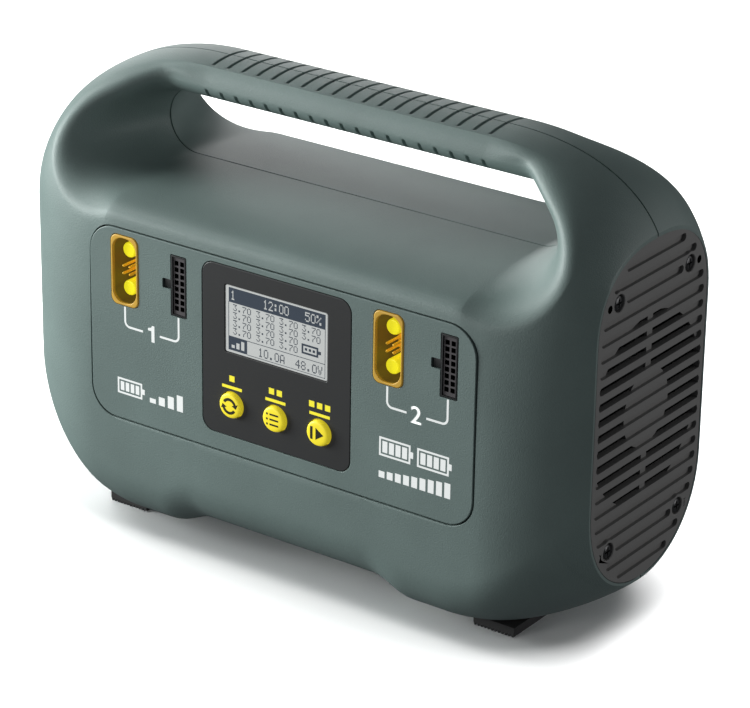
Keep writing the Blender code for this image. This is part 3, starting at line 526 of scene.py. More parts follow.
def grip_cut(grid):
    """Presses the finger grooves into the handle's band and into its underside."""
    around = np.roll(grid, -1, axis=0) - np.roll(grid, 1, axis=0)
    along = np.gradient(grid, axis=1)
    normals = np.cross(along, around)
    normals /= np.maximum(np.linalg.norm(normals, axis=2), 1e-9)[:, :, None]
    if normals[:, grid.shape[1] // 2, 1].sum() < 0:
        normals = -normals
    x, y, z = grid[..., 0], grid[..., 1], grid[..., 2]
    nearest = np.min([np.abs(x - place) for place in grip_places()], axis=0)
    profile = np.clip(1 - (nearest / 0.95) ** 2, 0.0, 1.0) ** 0.8
    upper = (1 - smooth_step(11.6, 13.0, y)) * (top_z(x) - z < 4.0)
    lower = 1 - smooth_step(6.4, 8.3, z - OPENING_Z - OPENING_RADIUS)
    on_bar = (np.abs(x) < 76.0) & (z > OPENING_Z + OPENING_RADIUS - 0.5)
    depth = np.where(on_bar, profile * np.maximum(0.75 * upper, 1.3 * lower), 0.0)
    normals[:, (0, -1), 1] = 0.0
    moved = grid - depth[..., None] * normals
    moved[..., 1] = np.maximum(moved[..., 1], SEAM / 2)
    return moved


def shell(name, side):
    outside = grip_cut(surface_grid(SEAM / 2, False, 96))
    inside = surface_grid(SEAM / 2, True, 26)
    points = []
    faces = []
    edges = []
    for grid in (outside, inside):
        start = sum(len(p) for p in points)
        count, steps = grid.shape[:2]
        for i in range(count):
            row, following = start + i * steps, start + (i + 1) % count * steps
            faces += [(row + k, following + k, following + k + 1, row + k + 1) for k in range(steps - 1)]
        edges.append([[start + i * steps + k for i in range(count)] for k in (0, steps - 1)])
        points.append(grid.reshape(-1, 3) * (1, side, 1))
    for out_edge, in_edge in zip(*edges):
        count = len(out_edge)
        for i in range(count):
            j = (i + 1) % count
            faces.append((out_edge[i], out_edge[j], in_edge[j], in_edge[i]))
    return mesh_object(name, np.vstack(points), faces, M["case"])


def end_outline(inset, steps=44):
    right = []
    for step in range(steps + 1):
        z = float(end_z(step / steps))
        right.append((float(outer_depth(np.array(HALF_LENGTH), np.array(z))), z))
    outline = np.array(right + [(-y, z) for y, z in reversed(right[1:-1])])
    ahead = np.roll(outline, -1, axis=0) - np.roll(outline, 1, axis=0)
    inward = np.column_stack([ahead[:, 1], -ahead[:, 0]])
    inward /= np.linalg.norm(inward, axis=1)[:, None]
    inward *= np.sign(((outline.mean(axis=0) - outline) * inward).sum(axis=1))[:, None]
    return [tuple(p) for p in outline + inset * inward]


def build_case():
    front = shell("front_shell_skin", -1)
    boolean(front, [window("panel window", grown(PANEL, PANEL_GROOVE), FRONT, FRONT + 8, 0.5)])
    settle(softened(front, 35), "case_green", "front_shell")
    rear = shell("rear_shell_skin", 1)
    posts, bores = [], []
    for index, place in enumerate(CASE_SCREWS):
        posts.append(turned(f"post {index}", [(5.0, 30.0), (5.0, 61.3)], "Y", place, M["case"], 32))
        depth = float(half_depth(np.array(place[0]), np.array(place[1])))
        profile = [(1.9, 25.0), (1.9, 47.0), (3.7, 47.01), (3.7, depth - 0.5), (3.85, depth - 0.2)]
        profile += [(4.3, depth + 0.1), (4.3, 75.0)]
        bores.append(turned(f"bore {index}", profile, "Y", place, M["case"], 40))
    boolean(rear, posts, "UNION")
    boolean(rear, bores + [prism("inlet window", rounded(28, 20.6, *INLET, 2.5), "Y", 50, 70, M["case"])])
    settle(softened(rear, 35), "case_green", "rear_shell")


# ---------------------------------------------------------------- control panel


def socket_shape(x):
    return (*SOCKET_SIZE, x, SOCKET_Z, 3.4)


def build_panel():
    panel = plate("front_panel_plate", PANEL, FRONT, FRONT + 4.8, 0.45, M["case"])
    tools = [window("bezel window", grown(BEZEL, GAP), FRONT, -50, 0.25)]
    for x in SOCKET_X:
        tools.append(window("socket window", grown(socket_shape(x), GAP), FRONT, -50, 0.2))
    for x in PORT_X:
        tools.append(window("port window", grown((*PORT_SIZE, x, SOCKET_Z, 0.4), GAP), FRONT, -50, 0.15))
        latch = (4.9, 3.9, x - PORT_SIZE[0] / 2 - 2.1, SOCKET_Z, 0.4)
        tools.append(window("latch window", grown(latch, GAP), FRONT, -50, 0.15))
    settle(softened(boolean(panel, tools)), "case_green", "front_panel")
    bezel = plate("display_bezel_plate", BEZEL, FRONT, FRONT + 2.4, 0.35, M["bezel"])
    tools = [window("screen window", SCREEN, FRONT, -50, 0.35)]
    for x in BUTTON_X.values():
        rings = [(BUTTON_HOLE + 0.3, -70.0)]
        rings += [(BUTTON_HOLE + inset, FRONT + behind) for behind, inset in lip(0.3)]
        rings.append((BUTTON_HOLE, -50.0))
        tools.append(turned("button hole", rings, "Y", (x, BUTTON_Z), M["nylon"], 64))
    settle(softened(boolean(bezel, tools)), "charcoal", "display_bezel")


PIXELS = {
    "0": "0E11111111110E", "1": "040C040404040E", "2": "0E11010204081F", "3": "1F02040201110E",
    "4": "02060A121F0202", "5": "1F101E0101110E", "6": "0608101E11110E", "7": "1F010204080808",
    "8": "0E11110E11110E", "9": "0E11110F01020C", ".": "00000000000C0C", ":": "000C0C000C0C00",
    "%": "18190204081303", "A": "0E1111111F1111", "V": "1111110A0A0A04",
}


def pixel_text(squares, text, left, right, low, high):
    """Adds a line of display characters, five by seven pixels each, as small squares."""
    cell = (right - left) / (6 * len(text) - 1)
    rise = (high - low) / 7
    for place, letter in enumerate(text):
        rows = bytes.fromhex(PIXELS[letter])
        for row, bits in enumerate(rows):
            for column in range(5):
                if bits >> (4 - column) & 1:
                    a = left + (place * 6 + column) * cell
                    b = high - (row + 1) * rise
                    squares.append((a, a + cell * 0.93, b, b + rise * 0.93))


def squares_object(name, squares, front, thick, material):
    points, faces = [], []
    for left, right, low, high in squares:
        start = len(points)
        for y in (front, front + thick):
            points += [(left, y, low), (right, y, low), (right, y, high), (left, y, high)]
        faces.append(tuple(start + i for i in range(4)))
        faces += [(start + i, start + (i + 1) % 4, start + 4 + (i + 1) % 4, start + 4 + i) for i in range(4)]
        faces.append(tuple(start + 4 + i for i in range(4)))
    return mesh_object(name, points, faces, material, smooth=False)


def build_display():
    face = FRONT + 0.3
    cell = plate("lcd_cell", (54.2, 30.8, 0.0, 119.7, 0.8), face, FRONT + 1.5, 0.12, M["lcd"])
    settle(softened(cell), "lcd_glass", "lcd_window")
    dark, light = [], []
    dark.append((-25.4, 26.1, 127.6, 134.4))
    dark.append((-25.6, -15.5, 105.4, 111.9))
    pixel_text(light, "1", -24.3, -21.9, 128.9, 133.2)
    pixel_text(light, "12:00", -6.8, 6.8, 128.9, 133.2)
    pixel_text(light, "50%", 15.4, 23.9, 128.9, 133.2)
    for step in range(3):
        light.append((-23.9 + 2.6 * step, -22.2 + 2.6 * step, 106.6, 108.0 + 1.3 * step))
    rows = (("3.70",) * 4, ("3.70",) * 4, ("3.70",) * 3, ("3.70",) * 3)
    for row, values in enumerate(rows):
        middle = 125.5 - 3.64 * row
        for column, value in enumerate(values):
            left = (-23.1, -10.6, 1.8, 13.8)[column]
            pixel_text(dark, value, left, left + 9.7, middle - 1.5, middle + 1.5)
    for outline in battery_icon(13.6, 23.8, 113.8, 118.4, 3):
        dark.append((outline[0][0], outline[1][0], outline[0][1], outline[2][1]))
    pixel_text(dark, "10.0A", -9.4, 4.6, 106.2, 110.3)
    pixel_text(dark, "48.0V", 10.4, 24.6, 106.2, 110.3)
    dark += [(-15.5, 26.1, 111.6, 111.9), (-15.5, 26.1, 105.2, 105.45), (-25.6, -25.3, 111.9, 127.6)]
    dark += [(25.85, 26.1, 105.2, 127.6)]
    shown = squares_object("lcd_segments_dark", dark, face - 0.02, 0.04, M["lcd_ink"])
    settle(shown, "lcd_glass")
    settle(squares_object("lcd_segments_light", light, face - 0.05, 0.04, M["lcd"]), "lcd_glass")


def dome(radius):
    """How far a button's face stands proud at a distance from its centre."""
    share = min(radius / BUTTON_RADIUS, 1.0)
    return BUTTON_PROUD - 1.0 * (1 - (1 - share**7) ** 0.5)


def flat_mark(name, outlines, material, front, thick=0.05, slices=None):
    """Printed shapes, as thin plates. slices cuts them finely so that they can follow a curved face."""
    points, faces = [], []
    for outline in outlines:
        start, count = len(points), len(outline)
        for y in (front, front + thick):
            points += placed(outline, y, "Y")
        faces.append(tuple(range(start, start + count)))
        faces.append(tuple(range(start + count, start + 2 * count)))
        faces += [(start + i, start + (i + 1) % count, start + count + (i + 1) % count, start + count + i)
                  for i in range(count)]
    made = mesh_object(name, points, faces, material, smooth=False)
    if slices:
        (cx, cz), depth_of = slices
        shape = bmesh.new()
        shape.from_mesh(made.data)
        for step in range(-12, 13):
            for normal, offset in (((1, 0, 0), cx), ((0, 0, 1), cz)):
                level = Vector(normal) * (offset + step * 0.4) * MM
                everything = shape.verts[:] + shape.edges[:] + shape.faces[:]
                bmesh.ops.bisect_plane(shape, geom=everything, plane_co=level, plane_no=normal)
        for vert in shape.verts:
            reach = math.hypot(vert.co.x / MM - cx, vert.co.z / MM - cz)
            vert.co.y -= depth_of(reach) * MM
        shape.to_mesh(made.data)
        shape.free()
    return made


def arc(cx, cz, radius, start, end, steps=14):
    angles = [math.radians(start + (end - start) * s / steps) for s in range(steps + 1)]
    return [(cx + radius * math.cos(a), cz + radius * math.sin(a)) for a in angles]


def bar(left, right, low, high):
    return [(left, low), (right, low), (right, high), (left, high)]


def icon(name, x, z):
    if name == "channel":
        shapes = []
        for turn in (0, 180):
            shapes.append(arc(x, z, 3.85, turn + 20, turn + 150) + arc(x, z, 2.5, turn + 150, turn + 20))
            tip = math.radians(turn + 20)
            out, ahead = (math.cos(tip), math.sin(tip)), (math.sin(tip), -math.cos(tip))
            middle = (x + 3.15 * out[0], z + 3.15 * out[1])
            shapes.append([(middle[0] + 1.75 * out[0], middle[1] + 1.75 * out[1]),
                           (middle[0] - 1.75 * out[0], middle[1] - 1.75 * out[1]),
                           (middle[0] + 1.9 * ahead[0], middle[1] + 1.9 * ahead[1])])
        return shapes
    if name == "mode":
        shapes = []
        for row in (-2.36, 0.0, 2.36):
            shapes.append(bar(x - 1.65, x + 3.1, z + row - 0.42, z + row + 0.42))
            shapes.append(arc(x - 3.0, z + row, 0.55, 0, 330, 11))
        return shapes
    return [bar(x - 3.5, x - 2.1, z - 3.0, z + 3.0), [(x - 0.6, z - 2.85), (x + 3.6, z), (x - 0.6, z + 2.85)]]


def build_buttons():
    for name, x in BUTTON_X.items():
        profile = [(0.03, FRONT - dome(0.0))]
        profile += [(BUTTON_RADIUS * s / 16, FRONT - dome(BUTTON_RADIUS * s / 16)) for s in range(1, 17)]
        profile += [(BUTTON_RADIUS, FRONT + 0.4), (BUTTON_RADIUS, -60.4), (7.5, -60.39), (7.5, -59.7)]
        cap = turned(f"button_cap_{name}", profile, "Y", (x, BUTTON_Z), M["button"], 64)
        settle(softened(cap, 40), "signal_yellow", f"button_{name}", body=f"{name}_key")
        print_ = flat_mark(f"button_icon_{name}", icon(name, x, BUTTON_Z), M["dark_ink"], FRONT - 0.02, 0.06,
                           slices=((x, BUTTON_Z), dome))
        settle(print_, "signal_yellow", body=f"{name}_key")


def lettering(name, text, left, right, low, high, material, front, bold=0.0):
    """Letters fitted into a box on the panel, thickened by a second copy set a little to one side."""
    curve = bpy.data.curves.new(name, "FONT")
    curve.body = text
    curve.resolution_u = 6
    made = bpy.data.objects.new(name, curve)
    bpy.context.scene.collection.objects.link(made)
    bpy.context.view_layer.update()
    mesh = bpy.data.meshes.new_from_object(made.evaluated_get(bpy.context.evaluated_depsgraph_get()))
    bpy.data.objects.remove(made, do_unlink=True)
    flat = np.array([v.co[:2] for v in mesh.vertices])
    size = np.maximum(np.ptp(flat, axis=0), 1e-9)
    placed_at = (flat - flat.min(axis=0)) / size * (right - left - bold, high - low) + (left, low)
    points = [(a + shift, front, b) for shift in (0.0, bold) for a, b in placed_at]
    faces = [tuple(v + start for v in p.vertices) for start in (0, len(placed_at)) for p in mesh.polygons]
    made = mesh_object(name, points, faces, material, smooth=False)
    shape = bmesh.new()
    shape.from_mesh(made.data)
    bmesh.ops.remove_doubles(shape, verts=shape.verts, dist=1e-7)
    raised = bmesh.ops.extrude_face_region(shape, geom=shape.faces[:])["geom"]
    raised = [part for part in raised if isinstance(part, bmesh.types.BMVert)]
    bmesh.ops.translate(shape, vec=(0, -0.04 * MM, 0), verts=raised)
    bmesh.ops.recalc_face_normals(shape, faces=shape.faces)
    shape.to_mesh(made.data)
    shape.free()
    return made


def bracket(x, start, end_x, level, width=1.0, radius=2.6):
    """A printed line that drops from a socket and turns towards its numeral."""
    way = 1 if end_x > x else -1
    cx, cz = x + way * radius, level + radius
    outer = arc(cx, cz, radius + width / 2, 180, 270) if way > 0 else arc(cx, cz, radius + width / 2, 0, -90)
    inner = arc(cx, cz, radius - width / 2, 270, 180) if way > 0 else arc(cx, cz, radius - width / 2, -90, 0)
    half = width / 2
    return [(x - way * half, start), *outer, (end_x, level - half), (end_x, level + half), *inner,
            (x + way * half, start)]


def battery_icon(left, right, low, high, bars):
    """A generic battery: an outline with a terminal and charge bars inside."""
    edge = 0.9
    body = right - 1.4
    shapes = [bar(left, body, low, low + edge), bar(left, body, high - edge, high)]
    shapes.append(bar(left, left + edge, low + edge, high - edge))
    shapes.append(bar(body - edge, body, low + edge, high - edge))
    third = (high - low) / 3
    shapes.append(bar(body, right, low + third, high - third))
    span = (body - left - 2 * edge - 0.8) / bars
    for index in range(bars):
        start = left + edge + 0.8 + index * span
        shapes.append(bar(start, start + span - 0.8, low + edge + 0.8, high - edge - 0.8))
    return shapes


def build_prints():
    face = FRONT - 0.02
    for count, x in enumerate(BUTTON_X.values(), 1):
        marks = [bar(x - 5.4, x + 5.4, 87.1, 88.5)]
        for index in range(count):
            left = x + (index - (count - 1) / 2) * 4.2 - 1.4
            marks.append(bar(left, left + 2.8, 90.6, 93.4))
        settle(flat_mark(f"key_mark_{count}", marks, M["yellow_ink"], face), "charcoal")
    lines = []
    for socket, port in zip(SOCKET_X, PORT_X):
        lines.append(bracket(socket - 0.2, 110.6, socket + 9.8, 101.4))
        lines.append(bracket(port - 0.2, 112.9, port - 10.8, 101.4))
    settle(flat_mark("channel_lines", lines, M["white_ink"], face), "case_green")
    one = [(-66.5, 97.6), (-66.5, 105.4), (-67.8, 105.4), (-68.3, 104.4), (-70.1, 103.9), (-70.1, 102.8),
           (-68.2, 102.8), (-68.2, 97.6)]
    settle(flat_mark("numeral_1", [one], M["white_ink"], face), "case_green")
    settle(lettering("numeral_2", "2", 70.6, 76.1, 97.6, 105.4, M["white_ink"], face, 0.5), "case_green")
    marks = battery_icon(-87.9, -72.5, 68.4, 76.0, 4)
    for index in range(4):
        left = -69.6 + index * 5.1
        marks.append(bar(left, left + 3.4, 68.4, 70.6 + 1.8 * index))
    settle(flat_mark("charge_symbols", marks, M["white_ink"], face), "case_green")
    marks = battery_icon(54.8, 72.3, 78.2, 86.9, 4) + battery_icon(74.3, 91.8, 78.2, 86.9, 4)
    for index in range(9):
        left = 54.8 + index * 4.2
        marks.append(bar(left, left + 3.0, 68.0, 71.0 + (0.5 * index)))
    settle(flat_mark("output_symbols", marks, M["white_ink"], face), "case_green")


def build_sockets():
    for index, x in enumerate(SOCKET_X, 1):
        face = FRONT - SOCKET_PROUD
        outside, cavity = socket_shape(x), (12.9, 30.5, x, SOCKET_Z, 5.6)
        rings = [placed(rounded(*outside), face + 19.0, "Y")]
        rings += [placed(rounded(*grown(outside, -inset)), face + deep, "Y")
                  for deep, inset in reversed(lip(0.5))]
        rings += [placed(rounded(*grown(cavity, inset)), face + deep, "Y") for deep, inset in lip(0.35)]
        rings += [placed(rounded(*cavity), face + deep, "Y") for deep in (2.0, 5.0, CAVITY_DEPTH)]
        made = loft(f"power_socket_shell_{index}", rings, M["socket"])
        holes = []
        for rise in (BULLET_SPREAD, -BULLET_SPREAD):
            place = (x, SOCKET_Z + rise)
            holes.append(turned("tail hole", [(2.3, -60.0), (2.3, -30.0)], "Y", place, M["socket"], 24))
        settle(softened(boolean(made, holes)), "socket_yellow", f"power_socket_{index}")
        for tag, rise in (("upper", BULLET_SPREAD), ("lower", -BULLET_SPREAD)):
            head = FRONT + BULLET_SUNK
            profile = [(0.03, head), (2.7, head), (3.1, head + 0.08), (3.35, head + 0.3)]
            profile += [(BULLET_RADIUS, head + 0.7), (BULLET_RADIUS, -50.3), (1.9, -50.2), (1.9, -43.8)]
            pin = turned(f"bullet_{index}_{tag}", profile, "Y", (x, SOCKET_Z + rise), M["bullet"], 40)
            settle(softened(pin), "gold", f"power_pin_{index}_{tag}")
        signal_block(index, x)


def signal_block(index, x):
    low = FRONT - SOCKET_PROUD + CAVITY_DEPTH - 1.6
    base = prism(f"signal_contacts_{index}", bar(x - 3.1, x + 3.1, SOCKET_Z - 3.6, SOCKET_Z + 3.6), "Y", low,
                 low + 1.3, M["signal"])
    pins = []
    for column in (-0.5, 0.5):
        for row in (-0.5, 0.5):
            place = (x + column * SIGNAL_PITCH, SOCKET_Z + row * SIGNAL_PITCH)
            profile = [(0.03, FRONT + 0.95), (0.35, FRONT + 1.05), (0.6, FRONT + 1.4), (0.6, low + 0.5)]
            pins.append(turned("signal pin", profile, "Y", place, M["signal"], 20))
    settle(softened(boolean(base, pins, "UNION")), "gold", f"signal_pins_{index}")


def contact_holes(x, width, floor):
    """Cutters for a balance socket's two columns of square contact holes, down to a floor."""
    holes = []
    for column in (0, 1):
        for row in range(CONTACT_ROWS):
            across = x + (column - 0.5) * CONTACT_COLUMNS_APART
            rise = SOCKET_Z + (row - (CONTACT_ROWS - 1) / 2) * CONTACT_PITCH
            outline = rounded(width, width, across, rise, 0.25, 2)
            holes.append(prism("contact hole", outline, "Y", -70, floor, M["nylon"]))
    return holes


def build_ports():
    for index, x in enumerate(PORT_X, 1):
        shape = (*PORT_SIZE, x, SOCKET_Z, 0.4)
        made = plate(f"balance_port_{index}", shape, FRONT, FRONT + 12, 0.15, M["nylon"])
        latch = plate("latch", (5.5, 3.9, x - 5.55, SOCKET_Z, 0.3), FRONT + 0.9, FRONT + 10, 0.1, M["nylon"])
        boolean(made, [latch], "UNION")
        holes = [prism("recess", rounded(*grown(shape, -0.75)), "Y", -70, FRONT + 0.8, M["nylon"])]
        holes += contact_holes(x, 2.25, FRONT + 8)
        settle(softened(boolean(made, holes), 30, False), "black_nylon", f"balance_socket_{index}")
        outline = rounded(*grown(shape, -0.78))
        cover = prism(f"port_face_{index}", outline, "Y", FRONT + 0.66, FRONT + 0.79, M["port_face"])
        settle(softened(boolean(cover, contact_holes(x, 2.2, -50)), 30, False), "black_nylon")


# ---------------------------------------------------------------- grilles, screws and feet


def groove_reach(z):
    """Half the length of the groove at a height on the grille."""
    outline = np.array(end_outline(GRILLE_MARGIN))
    right = outline[outline[:, 0] > 0]
    right = right[np.argsort(right[:, 1])]
    edge = min(float(np.interp(z + s * SLOT_HALF_HEIGHT, right[:, 1], right[:, 0])) for s in (-1, 1))
    return edge - 2.6


def stadium(left, right, z, radius, steps=6):
    return arc(right - radius, z, radius, -90, 90, steps) + arc(left + radius, z, radius, 90, 270, steps)


def ring_slot(z, side):
    """An open slot between the hub and the ring, cut along both circles."""
    levels = [z + SLOT_HALF_HEIGHT * t for t in (-1, -0.5, 0, 0.5, 1)]
    near, far = [], []
    for level in levels:
        rise = level - FAN_Z
        near.append((max(math.sqrt(max(HUB_RADIUS**2 - rise**2, 0)), CENTRE_RIB), level))
        far.append((min(math.sqrt(max(RING_RADIUS**2 - rise**2, 0)), groove_reach(z) - 0.6), level))
    if min(f[0] - n[0] for n, f in zip(near, far)) < 0.2:
        keep = [k for k in range(5) if far[k][0] - near[k][0] > 1.0]
        if len(keep) < 2:
            return None
        near, far = [near[k] for k in keep], [far[k] for k in keep]
    return [(side * a, b) for a, b in near + far[::-1]]


def grille_screw_places():
    return [(y, FAN_Z + rise) for rise in (-SCREW_RISE, SCREW_RISE) for y in (-SCREW_Y, SCREW_Y)]


def build_grille(end, sign):
    rings = [placed(end_outline(GRILLE_MARGIN + inset), sign * (HALF_LENGTH - behind), "X")
             for behind, inset in lip(0.4)]
    rings.append(placed(end_outline(GRILLE_MARGIN), sign * (HALF_LENGTH - GRILLE_THICK), "X"))
    made = loft(f"grille_plate_{end}", rings, M["grille"])
    deep, out = sorted((sign * (HALF_LENGTH - GROOVE_DEPTH), sign * BEYOND_END))
    grooves, slots = [], []
    for row in range(SLOT_ROWS):
        z = SLOT_TOP_Z - row * SLOT_PITCH
        reach = groove_reach(z)
        if min(abs(z - FAN_Z - SCREW_RISE), abs(z - FAN_Z + SCREW_RISE)) < 3.6:
            spans = [(-22.4, 22.4), (33.3, reach), (-reach, -33.3)]
        else:
            spans = [(-reach, reach)]
        for left, right in spans:
            outline = stadium(left, right, z, SLOT_HALF_HEIGHT)
            grooves.append(prism("groove", outline, "X", deep, out, M["grille"]))
        for side in (-1, 1):
            shape = ring_slot(z, side)
            if shape:
                slots.append(prism("slot", shape, "X", sign * BEHIND_GRILLE, sign * BEYOND_END, M["grille"]))
    cutter = grooves[0]
    boolean(cutter, grooves[1:], "UNION")
    profile = [(5.3, sign * BEHIND_GRILLE), (5.3, sign * 160.0)]
    boolean(cutter, [turned("boss", profile, "X", place, M["grille"], 40) for place in grille_screw_places()])
    holes = []
    for place in grille_screw_places():
        profile = [(4.2, sign * 150.0), (4.2, sign * HALF_LENGTH), (3.9, sign * (HALF_LENGTH - 0.3))]
        profile += [(3.9, sign * (HALF_LENGTH - 1.8)), (1.8, sign * (HALF_LENGTH - 1.81))]
        profile.append((1.8, sign * BEHIND_GRILLE))
        holes.append(turned("screw hole", profile, "X", place, M["grille"], 40))
    boolean(made, [cutter] + slots + holes)
    settle(softened(made, 35), "grille_grey", f"vent_grille_{end}")


def build_screw(name, axis, place, profile, face, into, material):
    """A screw with a domed head and a cross recess. into is the direction from its face towards its tip."""
    made = turned(name, profile, axis, place, material, 40)
    arms = []
    for across, up in ((2.1, 0.42), (0.42, 2.1)):
        corners = ((-1, -1), (1, -1), (1, 1), (-1, 1))
        outline = [(place[0] + a * across, place[1] + b * up) for a, b in corners]
        small = [(place[0] + a * across * 0.45, place[1] + b * up * 0.8) for a, b in corners]
        rings = [placed(outline, face - into * 1.0, axis), placed(outline, face + into * 0.3, axis)]
        rings.append(placed(small, face + into * 1.5, axis))
        arms.append(loft("recess", rings, material))
    boolean(arms[0], arms[1:], "UNION")
    return softened(boolean(made, arms[:1]), 35)


def build_screws():
    for end, sign in (("left", -1), ("right", 1)):
        for index, place in enumerate(grille_screw_places(), 1):
            head = HALF_LENGTH - 0.2
            steps = [(0.05, head), (1.6, head - 0.06), (2.6, head - 0.3), (3.2, head - 0.75)]
            steps += [(3.4, head - 1.2), (3.4, head - 1.4), (1.4, head - 1.41), (1.4, 136.2)]
            profile = [(r, sign * h) for r, h in steps]
            name = f"grille_screw_head_{end}_{index}"
            made = build_screw(name, "X", place, profile, sign * head, -sign, M["steel"])
            settle(made, "black_steel", f"grille_screw_{end}_{index}")
    for index, place in enumerate(CASE_SCREWS, 1):
        profile = [(1.5, -14.0), (1.5, 47.2), (3.2, 47.21), (3.2, 49.0), (2.7, 49.6), (1.6, 49.93)]
        profile.append((0.05, 50.0))
        made = build_screw(f"case_screw_head_{index}", "Y", place, profile, 50.0, -1, M["steel"])
        settle(made, "black_steel", f"case_screw_{index}")


def build_feet():
    """Bars of rubber with a finely ribbed sole and softened corners."""
    for end, sign in (("left", -1), ("right", 1)):
        low = sign * FOOT_X - FOOT_WIDTH / 2
        high = low + FOOT_WIDTH
        sole = []
        for rib in range(FOOT_RIBS):
            start = low + rib * FOOT_WIDTH / FOOT_RIBS
            sole += [(start + 0.2, 1.15), (start + 0.42, 0.25), (start + 0.62, 0.0), (start + 1.12, 0.0)]
            sole += [(start + 1.32, 0.25), (start + 1.52, 1.15)]
        outline = [(low, FOOT_HEIGHT), (low, 1.4), (low + 0.1, 1.15), *sole, (high - 0.1, 1.15)]
        outline += [(high, 1.4), (high, FOOT_HEIGHT)]
        middle = sign * FOOT_X
        corner = ((41.4, 0.985), (41.1, 0.996), (40.6, 1.0))
        rings = []
        for y, shrink in [(-y, shrink) for y, shrink in corner] + list(reversed(corner)):
            shrunk = [((a - middle) * shrink + middle, FOOT_HEIGHT + (b - FOOT_HEIGHT) * shrink)
                      for a, b in outline]
            rings.append(placed(shrunk, y, "Y"))
        made = loft(f"foot_pad_{end}", rings, M["rubber"])
        settle(softened(made, 30, False), "rubber", f"foot_{end}")


def refined(name, source, material, slot, bevel=0.3):
    """A CAD piece's own shape with its edges softened."""
    made = bpy.data.objects.new(name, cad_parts[source].data.copy())
    bpy.context.scene.collection.objects.link(made)
    made.data.materials.clear()
    made.data.materials.append(material)
    shape = bmesh.new()
    shape.from_mesh(made.data)
    bmesh.ops.remove_doubles(shape, verts=shape.verts, dist=1e-6)
    bmesh.ops.dissolve_limit(shape, angle_limit=math.radians(1), verts=shape.verts, edges=shape.edges)
    shape.to_mesh(made.data)
    shape.free()
    step = made.modifiers.new("edges", "BEVEL")
    step.width = bevel * MM
    step.segments = 2
    step.limit_method = "ANGLE"
    step.angle_limit = math.radians(50)
    settle(softened(made, 35), slot, source)


def dress_frame():
    """Gives every carried-over CAD piece a finished material."""
    wanted = {
        "lcd_module": "lcd", "display_board": "board", "main_board": "board", "power_board": "board",
        "key_switch_channel": "nylon", "key_switch_mode": "nylon", "key_switch_start": "nylon",
        "fan_frame_left": "nylon", "fan_frame_right": "nylon",
        "fan_rotor_left": "nylon", "fan_rotor_right": "nylon",
        "ac_inlet_blades": "brass", "heatsink_1": "aluminium", "heatsink_2": "aluminium",
        "transformer_core": "ferrite", "transformer_coil": "tape", "bulk_capacitor_1": "sleeve",
        "bulk_capacitor_2": "sleeve", "filter_choke": "copper",
    }
    wanted.update({f"board_standoff_{index}": "brass" for index in range(1, 5)})
    for name, material in wanted.items():
        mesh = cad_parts[name].data
        mesh.materials.clear()
        mesh.materials.append(M[material])
    refined("mains_inlet_housing", "ac_inlet", M["nylon"], "black_nylon", 0.35)


# ---------------------------------------------------------------- studio


def area_light(name, place, aim, size, power, colour=(1, 1, 1)):
    """A square light, with its place and size in metres and its power in watts."""
    data = bpy.data.lights.new(name, "AREA")
    data.energy = power
    data.color = colour
    data.size = size
    made = bpy.data.objects.new(name, data)
    bpy.context.scene.collection.objects.link(made)
    made.location = place
    made.rotation_euler = (Vector(aim) - Vector(place)).to_track_quat("-Z", "Y").to_euler()
    return made


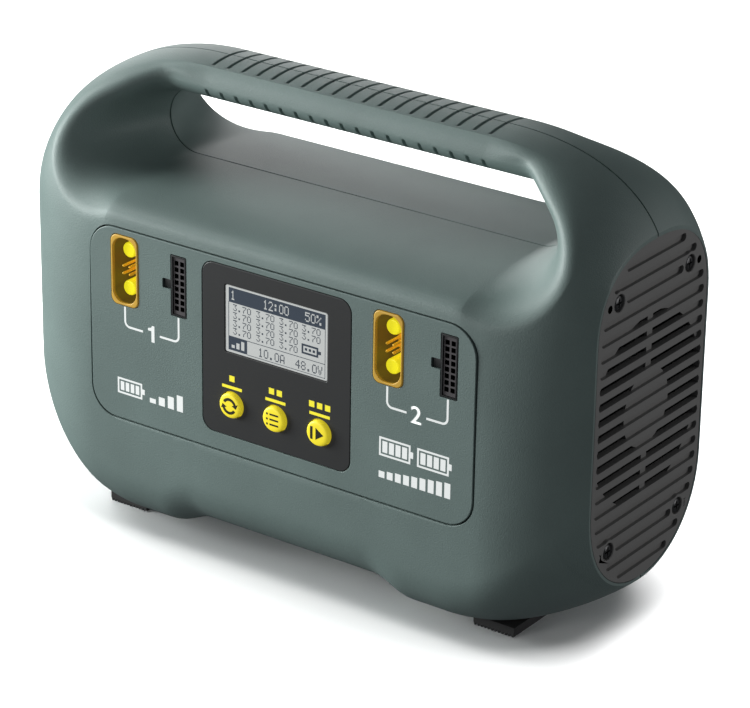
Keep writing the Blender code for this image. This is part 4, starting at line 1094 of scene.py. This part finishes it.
def build_studio():
    corners = [(-4000, -4000, 0), (4000, -4000, 0), (4000, 4000, 0), (-4000, 4000, 0)]
    paper = plastic("floor_paper", (0.93, 0.93, 0.93), 0.35, 2.0, 0.0, 0.004)
    floor = mesh_object("studio_floor", corners, [(0, 1, 2, 3)], paper)
    floor.visible_diffuse = False
    floor.visible_glossy = False
    world = bpy.context.scene.world or bpy.data.worlds.new("studio")
    bpy.context.scene.world = world
    world.use_nodes = True
    backdrop = world.node_tree.nodes["Background"]
    backdrop.inputs["Color"].default_value = (0.9, 0.95, 1.0, 1.0)
    backdrop.inputs["Strength"].default_value = 0.08
    centre = (0.0, 0.0, 0.11)
    area_light("key", (-1.1, -0.1, 0.9), centre, 0.6, 6.4, (0.97, 1.0, 0.99))
    area_light("side softbox", (-1.2, -0.5, 0.32), centre, 0.5, 17.8, (0.95, 1.0, 0.99))
    area_light("front fill", (-0.5, -1.3, 0.2), centre, 0.6, 4.2)
    area_light("rear left rim", (-1.0, 1.0, 0.5), centre, 0.8, 4.4)
    area_light("rear right rim", (0.9, 1.2, 0.5), centre, 0.8, 1.4)
    area_light("end fill", (1.3, 0.75, 0.1), centre, 0.6, 4.5)
    overhead = area_light("floor light", (0.3, 0.5, 2.3), (0, 0, 0), 2.2, 125.0)
    receivers = bpy.data.collections.new("floor only")
    receivers.objects.link(floor)
    overhead.light_linking.receiver_collection = receivers
    bpy.context.scene.view_settings.view_transform = "Standard"


def build_camera():
    """Looks at the front and the right end from above, with a long lens."""
    yaw, pitch, roll = (math.radians(a) for a in (35.3906, 23.2996, 0.8847))
    back = Vector((math.sin(yaw) * math.cos(pitch), -math.cos(yaw) * math.cos(pitch), math.sin(pitch)))
    right = Vector((math.cos(yaw), math.sin(yaw), 0))
    up = back.cross(right)
    across = math.cos(roll) * right + math.sin(roll) * up
    upward = -math.sin(roll) * right + math.cos(roll) * up
    data = bpy.data.cameras.new("camera")
    data.lens = 159.97
    data.sensor_width = 36.0
    data.clip_end = 30.0
    made = bpy.data.objects.new("camera", data)
    bpy.context.scene.collection.objects.link(made)
    made.matrix_world = Matrix((
        (across.x, upward.x, back.x, 0.78902),
        (across.y, upward.y, back.y, -1.10062),
        (across.z, upward.z, back.z, 0.67165),
        (0, 0, 0, 1),
    ))
    bpy.context.scene.camera = made


build_case()
build_panel()
build_display()
build_buttons()
build_prints()
build_sockets()
build_ports()
for end, sign in (("left", -1), ("right", 1)):
    build_grille(end, sign)
build_screws()
build_feet()
dress_frame()
build_studio()
build_camera()
